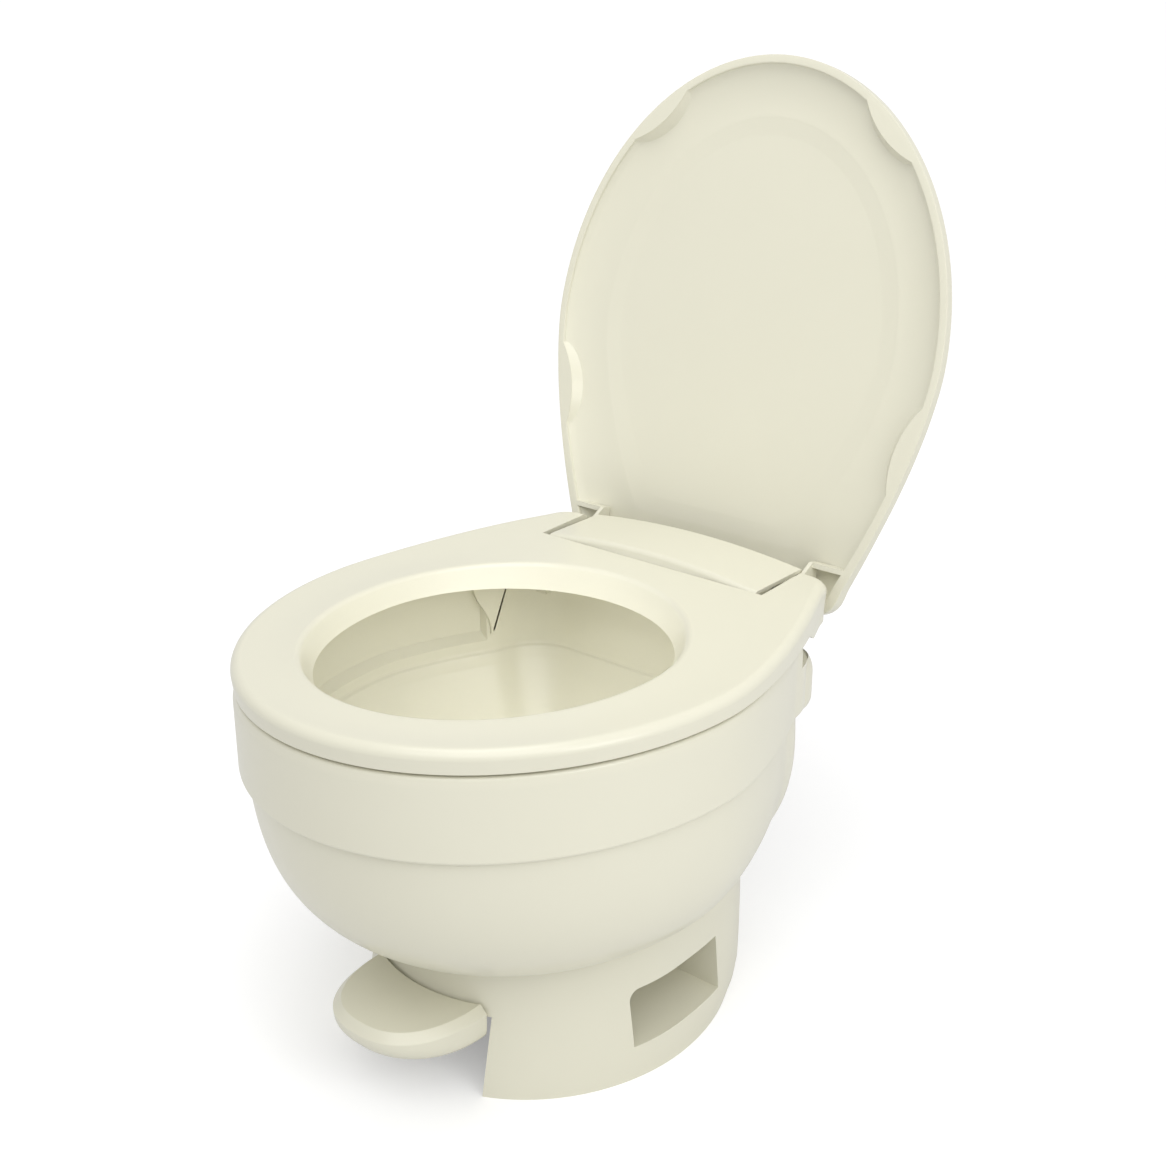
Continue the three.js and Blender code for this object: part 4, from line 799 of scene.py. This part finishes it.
def buildSpout():
    # Flat face turned towards the middle of the bowl: its right edge is straight, half * (1 - share), and
    # its left edge has a sine of the same share on top of that
    size = spoutSizes
    share = np.linspace(0, 1, 25)
    height = size["top"] + (size["tip"] - size["top"]) * share
    right = size["wide"] * 0.5 * (1 - share)
    left = -size["wide"] * (0.5 * (1 - share) + size["swing"] * np.sin(2 * np.pi * share))
    left = np.minimum(left, right - size["least"])
    along = spoutWay()
    outward = np.array((-along[1], along[0])) * size["deep"]
    centre = np.array((size["side"], size["back"]))
    loops = []
    for z, start, end in zip(height, left, right):
        rearStart = along * (start - size["widening"]) + outward
        rearEnd = along * (end + size["widening"]) + outward
        loops.append(level(centre + np.array([along * start, along * end, rearEnd, rearStart]), z))
    spout = keep(loft(loops), loft(bowlLoops(bowlSizes["wall"] - size["sunk"])))
    piece(spout, "flushSpout", "bonePlastic", "base", "shell", "flush_nozzle", edge=0.4)


def buildBowl():
    # Ring of loops down one side, round the flange and up the other, less recess and slot
    size = bowlSizes
    high = size["flangeTop"]
    low = high - size["flangeThick"]
    loops = [
        *bowlLoops(0), level(throatLoop(size["throat"]), low), level(throatLoop(size["flange"]), low),
        level(throatLoop(size["flange"]), high), level(throatLoop(size["throat"] + size["wall"]), high),
        *bowlLoops(size["wall"])[::-1][1:],
    ]
    hole = tube(duct["path"], duct["bore"])
    bowl = cut(loft(loops, ring=True), rearSpace(deck["wall"] + deck["clearance"]), hole)
    recess = loft([level(planOf(size, inset), size["ledge"] + height) for inset, height in size["recess"]])
    bowl = cut(bowl, keep(recess, block(*size["recessBox"])), spoutGap())
    piece(bowl, "bowlInside", "bonePlastic", "base", "shell", "bowl", edge=0.7)


buildBowl()
buildSpout()
print("stage: bowl and spout")

# Hinge cover

coverSizes = {
    "half": 102.8, "reach": 47.3, "skirt": 8.0, "top": 18.0, "slope": 0.8, "crown": 7.0, "thick": 3.0,
    "rear": 19.0, "lip": 7.0, "round": 5.0, "rearRound": 2.0,
    "postSide": 60.0, "postRadius": 5.0, "postLow": 292.3, "postHigh": 327.0,
}


def buildCover():
    # One profile across for each x, its top raised by crown * (1 - (x / half) ** 2)
    size = coverSizes
    loops = []
    share = np.linspace(0, 1, 9)
    turn = np.linspace(0, np.pi / 2, 7)
    small = size["rearRound"]
    lipInner = size["rear"] - size["thick"]
    for x in np.linspace(-size["half"], size["half"], 65):
        frontTop = size["top"] + size["crown"] * (1 - (x / size["half"]) ** 2)
        rearTop = frontTop + size["slope"]
        # front face on a circle about the hinge line, a small round, then the sloping top and the rear lip
        height = size["skirt"] + share * (frontTop - size["round"] - size["skirt"])
        front = np.stack([-np.sqrt(size["reach"] ** 2 - height ** 2), height], 1)
        corner = front[-1] + size["round"] * np.stack([1 - np.cos(turn[1:]), np.sin(turn[1:])], 1)
        rearRound = small * np.stack([np.sin(turn) - 1, np.cos(turn) - 1], 1) + (size["rear"], rearTop)
        lipFoot = rearTop - size["lip"]
        lip = [(size["rear"], lipFoot), (lipInner, lipFoot), (lipInner, rearTop - size["thick"])]
        height = size["skirt"] + share[::-1] * (frontTop - size["thick"] - size["skirt"])
        inside = np.stack([-np.sqrt((size["reach"] - size["thick"]) ** 2 - height ** 2), height], 1)
        profile = np.vstack([front, corner, rearRound, lip, inside])
        loops.append(np.column_stack([np.full(len(profile), x), profile + hingeAxis]))
    posts = [rod("z", size["postRadius"], size["postLow"], size["postHigh"], (x, hinge["back"]), 48)
             for x in (-size["postSide"], size["postSide"])]
    cover = add(loft(loops), *posts)
    piece(cover, "hingeCover", "bonePlastic", "base", "shell", "hinge_cover", edge=0.7)


buildCover()
print("stage: hinge cover")

# Lid, drawn shut and level and then turned open about the hinge line

lidSizes = {
    "half": 184.0, "front": 218.0, "rear": 203.0, "rearHalf": 125.0, "corner": 22.0,
    "rim": 328.8, "rimWidth": 6.0, "depth": 10.0, "dome": 9.0, "crown": 1.0, "panel": 11.0, "inset": 60.0,
    "panelEdge": 38.0, "panelGap": 0.8, "hollowPower": 0.7, "step": 2.4, "dish": 3.5, "open": 103.115,
    "round": 3.0,
    # it grows thicker by the share rearFull from fullFrom to its rear
    "rearFull": 0.5, "fullFrom": 120.0,
    # insets and heights round the rim, from the inner wall under it to the outer wall
    "rimSide": ((6.3, 0.5), (5.4, 0.0), (0.8, 0.0), (0.2, 0.25), (0.0, 0.9), (0.0, 7.5)),
    # distance from the outside to what is built inside the lid
    "cover": 1.5,
    # lands: a place on each, their radius, the way from there to the circle's centre, and the growth of
    # the radius at the heights of their side
    "lands": ((130.9, -184.4), (195.1, 66.4)), "landRadius": 82.0, "landShift": 46.5,
    "landSide": ((0.0, -5.0), (0.0, 0.4), (0.6, 1.2), (2.5, 4.0), (7.0, 9.9)),
    "hingeRoom": 33.0, "hingeHalf": 103.4,
}
# Ears that carry the lid on its pins: ends across, side view, and (front, rear, low, high) of room and rib
ear = {
    "inner": 104.0, "outer": 107.2, "ribOuter": 137.0, "boreHalf": 140.0,
    "side": ((181, 307), (190, 298), (199, 307), (199, 337.8), (162, 337.8), (162, 328.8)),
    "room": (162.0, 203.0, 298.0, 335.8), "rib": (162.0, 166.0, 328.8, 337.8),
}


def fuller(y):
    # Share added to the thickness: rearFull * smoothStep from fullFrom to the rear
    return lidSizes["rearFull"] * smoothStep(y, lidSizes["fullFrom"], lidSizes["rear"])


def lidLoop(inset, height):
    # Plan at a height over the rim, which grows with the thickness
    plan = planOf(lidSizes, inset)
    return level(plan, lidSizes["rim"] + height * (1 + fuller(plan[:, 1])))


def lidMiddle(share, height):
    # Scaled plan of the lid's flat middle
    return level(planOf(lidSizes, lidSizes["inset"]) * share, lidSizes["rim"] + height)


def lidInside():
    # Space between rim and outside, which lands, ears and ribs keep to
    return loft([lidLoop(lidSizes["round"], z) for z in (0, lidSizes["depth"] - lidSizes["cover"])])


def landShape(x, y):
    # A low cone whose middle lies outside the lid: its side slopes from the land down to the panel
    size = lidSizes
    place = np.array((x, y))
    centre = place + place / math.hypot(x, y) * size["landShift"]
    angle = np.linspace(0, 2 * np.pi, 240, endpoint=False)
    circle = np.stack([np.cos(angle), np.sin(angle)], 1)
    return loft([level(centre + circle * (size["landRadius"] + growth), size["rim"] + height)
                 for growth, height in size["landSide"]])


def buildLid():
    # Stack of loops from the middle of the inside round the rim to the middle of the outside
    size = lidSizes
    panel, step, depth = size["panel"], size["step"], size["depth"]
    # panel: a dished middle, then a straight run to its edge
    loops = [lidMiddle(share, panel + size["dish"] * (1 - share ** 2 / 2))
             for share in (0.05, 0.25, 0.5, 0.75, 0.9)]
    edgeLoop = lidLoop(size["rimWidth"] + size["panelEdge"], panel)
    middle = lidMiddle(1, panel + size["dish"] / 2)
    loops += [middle + (edgeLoop - middle) * share for share in np.linspace(0, 1, 9)[:-1]]
    # inner wall: a wide hollow, height = step + rest * (1 - turn ** 2) ** 0.7, and a short step to the rim
    for turn in np.linspace(0, 1, 15):
        inset = size["rimWidth"] + size["panelGap"] + size["panelEdge"] * (1 - turn)
        loops.append(lidLoop(inset, step + (panel - step) * (1 - turn ** 2) ** size["hollowPower"]))
    loops += [lidLoop(inset, height) for inset, height in size["rimSide"]]
    loops += [lidLoop(a * size["round"], depth - b * size["round"]) for a, b in rolled(5)[1:]]
    # outside: height = depth * full + dome * sin(share * quarter turn), then the crown of the middle
    outerStart = lidLoop(size["round"], depth)
    outerEnd = lidMiddle(1, depth + size["dome"])
    for share in np.linspace(0, 1, 14)[1:]:
        loop = outerStart + (outerEnd - outerStart) * share
        full = 1 + fuller(loop[:, 1]) * (1 - share)
        loop[:, 2] = size["rim"] + depth * full + size["dome"] * np.sin(share * np.pi / 2)
        loops.append(loop)
    for share in (0.9, 0.7, 0.4, 0.1):
        loops.append(lidMiddle(share, depth + size["dome"] + size["crown"] * (1 - share ** 2)))
    lands = [landShape(sign * x, y) for x, y in size["lands"] for sign in (-1, 1)]
    lid = add(loft(loops), keep(lidInside(), add(*lands)))
    ears = [slab(ear["side"], *ends) for ends in bothSides(ear["inner"], ear["outer"])]
    ears += [block(*ends, *ear["rib"]) for ends in bothSides(ear["inner"], ear["ribOuter"])]
    ears = cut(add(*ears), rod("x", hinge["bore"], -ear["boreHalf"], ear["boreHalf"], hingeAxis))
    rooms = [block(*ends, *ear["room"]) for ends in bothSides(ear["inner"], ear["outer"])]
    lid = add(lid, keep(ears, add(lidInside(), *rooms)))
    lid = cut(lid, rod("x", size["hingeRoom"], -size["hingeHalf"], size["hingeHalf"], hingeAxis, 180))
    centre = Vector(toFrame((0, *hingeAxis)))
    turned = Matrix.Rotation(-math.radians(size["open"]), 4, "X")
    lid.data.transform(Matrix.Translation(centre) @ turned @ Matrix.Translation(-centre))
    piece(lid, "lidShell", "bonePlastic", "lid_body", "shell", "lid", edge=0.6)


buildLid()
print("stage: lid")

# Pedestal

footSizes = {
    "half": 137.0, "front": 150.0, "rear": 160.0, "back": 23.0,
    "waistHalf": 122.0, "waistFront": 128.0, "waistRear": 150.0, "top": 122.0, "wall": 4.0, "below": -5.0,
    # power of the rear half's curve: on the floor, added over the lowest share, added up to the waist
    "power": 2.0, "powerLow": 0.25, "lowShare": 0.13, "powerWaist": 1.0,
    # opening in the top for the bowl
    "topLand": 16.0, "opening": (113.0, 127.0),
    "nicheFront": -24.0, "nicheRear": 75.0, "nicheTop": 70.0, "nicheCorner": 9.0, "nicheInner": 66.0,
    "nicheOuter": 142.0, "nicheWall": 3.0, "shelf": 25.0,
    "pedalCut": (-57.6, 57.6, -132.0, -64.25, -5.0, 62.0),
    "valveShelf": (-86.0, -42.0, 92.0, 183.0, 65.7, 70.7),
    "bolts": [("z", 3.8, 0.0, 27.0, (x, 22.0)) for x in (76.2, -76.2)],
    "supply": ("y", 9.3, 128.0, 188.0, (-64.0, 88.0)),
}
# Room for the flush tube on its way up to the vacuum breaker
tubeRoom = {
    "bore": 7.6,
    "path": ((-44, 111, 88), (-38, 111, 88), (-33, 113, 88), (-25, 126, 89), (-22, 150, 93), (-22, 182, 99),
             (-26, 206, 118), (-36, 226, 160), (-40, 230, 196), (-40, 230, 221.7)),
}


def footReach(share):
    # Half width, front and rear at a share of the height, drawn in evenly from the foot to the waist
    size = footSizes
    foot = np.array((size["half"], size["front"], size["rear"]))
    waist = np.array((size["waistHalf"], size["waistFront"], size["waistRear"]))
    return foot + share * (waist - foot)


def footLoop(inset, height, share):
    # Ellipse with its own front and rear half; the rear half fills out to
    # (x / half) ** n + (y / rear) ** n = 1, with n from 2 on the floor to 3.25 at the waist
    size = footSizes
    angle = np.linspace(0, 2 * np.pi, 256, endpoint=False)
    half, front, rear = footReach(share) - inset
    reach = np.where(np.sin(angle) < 0, front, rear)
    rise = size["powerLow"] * smoothStep(share, 0, size["lowShare"]) + size["powerWaist"] * share
    power = size["power"] + rise
    spread = (np.abs(np.cos(angle)) ** power + np.abs(np.sin(angle)) ** power) ** (-1 / power)
    spread = np.where(np.sin(angle) > 0, spread, 1)
    plan = np.stack([half * np.cos(angle) * spread, size["back"] + reach * np.sin(angle) * spread], 1)
    return level(plan, height)


def footStack(inset, bottom, top):
    # The foot between two heights, with its walls drawn in by inset
    return loft([footLoop(inset, z, z / footSizes["top"]) for z in np.linspace(bottom, top, 13)])


def nicheRooms(grow):
    # Rooms for the floor bolts on both sides, with a round upper corner in front, larger by grow
    size = footSizes
    front, rear = size["nicheFront"] - grow, size["nicheRear"] + grow
    low, high = size["shelf"] - grow, size["nicheTop"] + grow
    arc = (front, high) + rolled(6) * (size["nicheCorner"], -size["nicheCorner"])
    outline = [(front, low), (rear, low), (rear, high), *arc[::-1]]
    return [slab(outline, *ends) for ends in bothSides(size["nicheInner"] - grow, size["nicheOuter"])]


def buildPedestal():
    # The foot less its hollow, the niches, the pedal's cut, the bowl's room and the holes
    size = footSizes
    hollow = footStack(size["wall"], size["below"], size["top"] - size["wall"])
    hollow = cut(hollow, *nicheRooms(size["nicheWall"]), block(*size["valveShelf"]))
    pedestal = cut(footStack(0, 0, size["top"]), hollow, *nicheRooms(0))
    pedestal = cut(pedestal, block(*size["pedalCut"]), loft(skirtLoops(-skirtSizes["clearance"])))
    opening = loft([footLoop(size["topLand"], z, 1) for z in size["opening"]])
    holes = [rod(*values) for values in (*size["bolts"], size["supply"])]
    pedestal = cut(pedestal, opening, *holes, tube(tubeRoom["path"], tubeRoom["bore"]))
    piece(pedestal, "pedestalFoot", "bonePlastic", "base", "shell", "pedestal", edge=1.3)


buildPedestal()
print("stage: pedestal")

# Pedal

treadSizes = {
    "half": 56.4, "front": -180.0, "side": -105.0, "top": 72.0, "thick": 26.0, "hull": 19.0,
    "under": 20.0, "corner": 4.0, "power": 2.4, "gap": 3.0,
    # inset and depth below the top round its chamfer
    "chamfer": ((0.0, 6.6), (0.4, 5.8), (5.5, 0.5), (6.3, 0.0)),
    "shaftBack": -64.25, "shaftHeight": 62.0, "shaftBore": 5.3, "boreHalf": 21.0, "hub": 11.0,
    "armHalf": 16.0, "armFront": -125.0, "armTop": 61.4, "armThick": 11.0,
}


def footWallAt(x):
    # Front wall of the pedestal at the height of the tread: back - front * sqrt(1 - (x / half) ** 2)
    half, front, _ = footReach(treadSizes["top"] / footSizes["top"])
    return footSizes["back"] - front * np.sqrt(1 - (x / half) ** 2)


def treadLoop(inset, height, under=0.0):
    # In front (x / half) ** 2.4 + (y / depth) ** 2.4 = 1, drawn back by under; the rear follows the wall
    size = treadSizes
    power = size["power"]
    half = size["half"] - inset
    angle = np.linspace(0, np.pi, 72)
    depth = size["side"] - size["front"] - inset - under
    spread = (np.abs(np.cos(angle)) ** power + np.sin(angle) ** power) ** (-1 / power)
    front = np.stack([half * np.cos(angle) * spread, size["side"] - depth * np.sin(angle) * spread], 1)
    x = np.linspace(-half, half, 50)[1:-1]
    rear = np.stack([x, footWallAt(x) - size["gap"]], 1)
    return level(np.vstack([front, rear]), height)


def buildPedal():
    # Tread over a hull, with an arm to the shaft and a hub round it
    size = treadSizes
    bottom = size["top"] - size["thick"]
    loops = []
    # underside: corner * (1 - sin) ** 2 all round and under * (1 - sin) in front, at hull * (1 - cos)
    for turn in np.linspace(0, np.pi / 2, 12):
        share = 1 - math.sin(turn)
        height = bottom + size["hull"] * (1 - math.cos(turn))
        loops.append(treadLoop(size["corner"] * share ** 2, height, size["under"] * share))
    loops += [treadLoop(inset, size["top"] - drop) for inset, drop in size["chamfer"]]
    side, high = size["armHalf"], size["armTop"]
    shaftAxis = (size["shaftBack"], size["shaftHeight"])
    arm = block(-side, side, size["armFront"], size["shaftBack"], high - size["armThick"], high)
    pedal = add(loft(loops), arm, rod("x", size["hub"], -side, side, shaftAxis))
    pedal = cut(pedal, rod("x", size["shaftBore"], -size["boreHalf"], size["boreHalf"], shaftAxis))
    piece(pedal, "footPedal", "bonePlastic", "pedal_body", "shell", "pedal", edge=0.6)


buildPedal()
print("stage: pedal")

# Finishes of the solids that are shown as they are


def smoothingGroup():
    # The solids come as loose triangles: they are joined and shaded smooth, and steeper edges stay sharp
    group = bpy.data.node_groups.new("roundLook", "GeometryNodeTree")
    for way in ("INPUT", "OUTPUT"):
        group.interface.new_socket("Geometry", in_out=way, socket_type="NodeSocketGeometry")
    make = group.nodes.new
    link = group.links.new
    joined = make("GeometryNodeMergeByDistance")
    joined.inputs["Distance"].default_value = shading["mergeDistance"]
    faces = make("GeometryNodeSetShadeSmooth")
    edges = make("GeometryNodeSetShadeSmooth")
    edges.domain = "EDGE"
    angle = make("GeometryNodeInputMeshEdgeAngle")
    gentle = make("FunctionNodeCompare")
    gentle.operation = "LESS_THAN"
    gentle.inputs["B"].default_value = math.radians(shading["keptSharp"])
    link(make("NodeGroupInput").outputs["Geometry"], joined.inputs["Geometry"])
    link(joined.outputs["Geometry"], faces.inputs["Geometry"])
    link(faces.outputs["Geometry"], edges.inputs["Geometry"])
    link(angle.outputs["Unsigned Angle"], gentle.inputs["A"])
    link(gentle.outputs["Result"], edges.inputs["Shade Smooth"])
    link(edges.outputs["Geometry"], make("NodeGroupOutput").inputs["Geometry"])
    return group


keptFinishes = {
    "innerPlastic": ("hinge_bracket",),
    "whitePlastic": ("pedal_gear", "ball_pinion", "valve_ball", "water_valve_body", "valve_cap",
                     "supply_nipple", "vacuum_breaker_body", "breaker_cap", "pedal_bushing_left",
                     "pedal_bushing_right"),
    "blackPlastic": ("valve_housing", "swivel_nut", "breaker_float"),
    "rubber": ("seat_bumper_front_left", "seat_bumper_front_right", "seat_bumper_rear_left",
               "seat_bumper_rear_right", "bowl_seal", "outlet_gasket"),
    "steel": ("hinge_pin_left", "hinge_pin_right", "closet_bolt_left", "closet_bolt_right",
              "bolt_washer_left", "bolt_washer_right", "closet_nut_left", "closet_nut_right",
              "flange_screw_1", "flange_screw_2", "flange_screw_3", "flange_screw_4",
              "pedal_shaft", "crank", "return_spring", "valve_rod"),
    "brass": ("valve_plunger",),
    "hose": ("supply_tube", "flush_tube"),
}
smoothGroup = smoothingGroup()
for finish, names in keptFinishes.items():
    for name in names:
        nodes[name].modifiers.new("smooth", "NODES").node_group = smoothGroup
        for held in nodes[name].material_slots:
            held.link = "OBJECT"
            held.material = materials[finish]
print("stage: finishes")

bpy.context.view_layer.update()
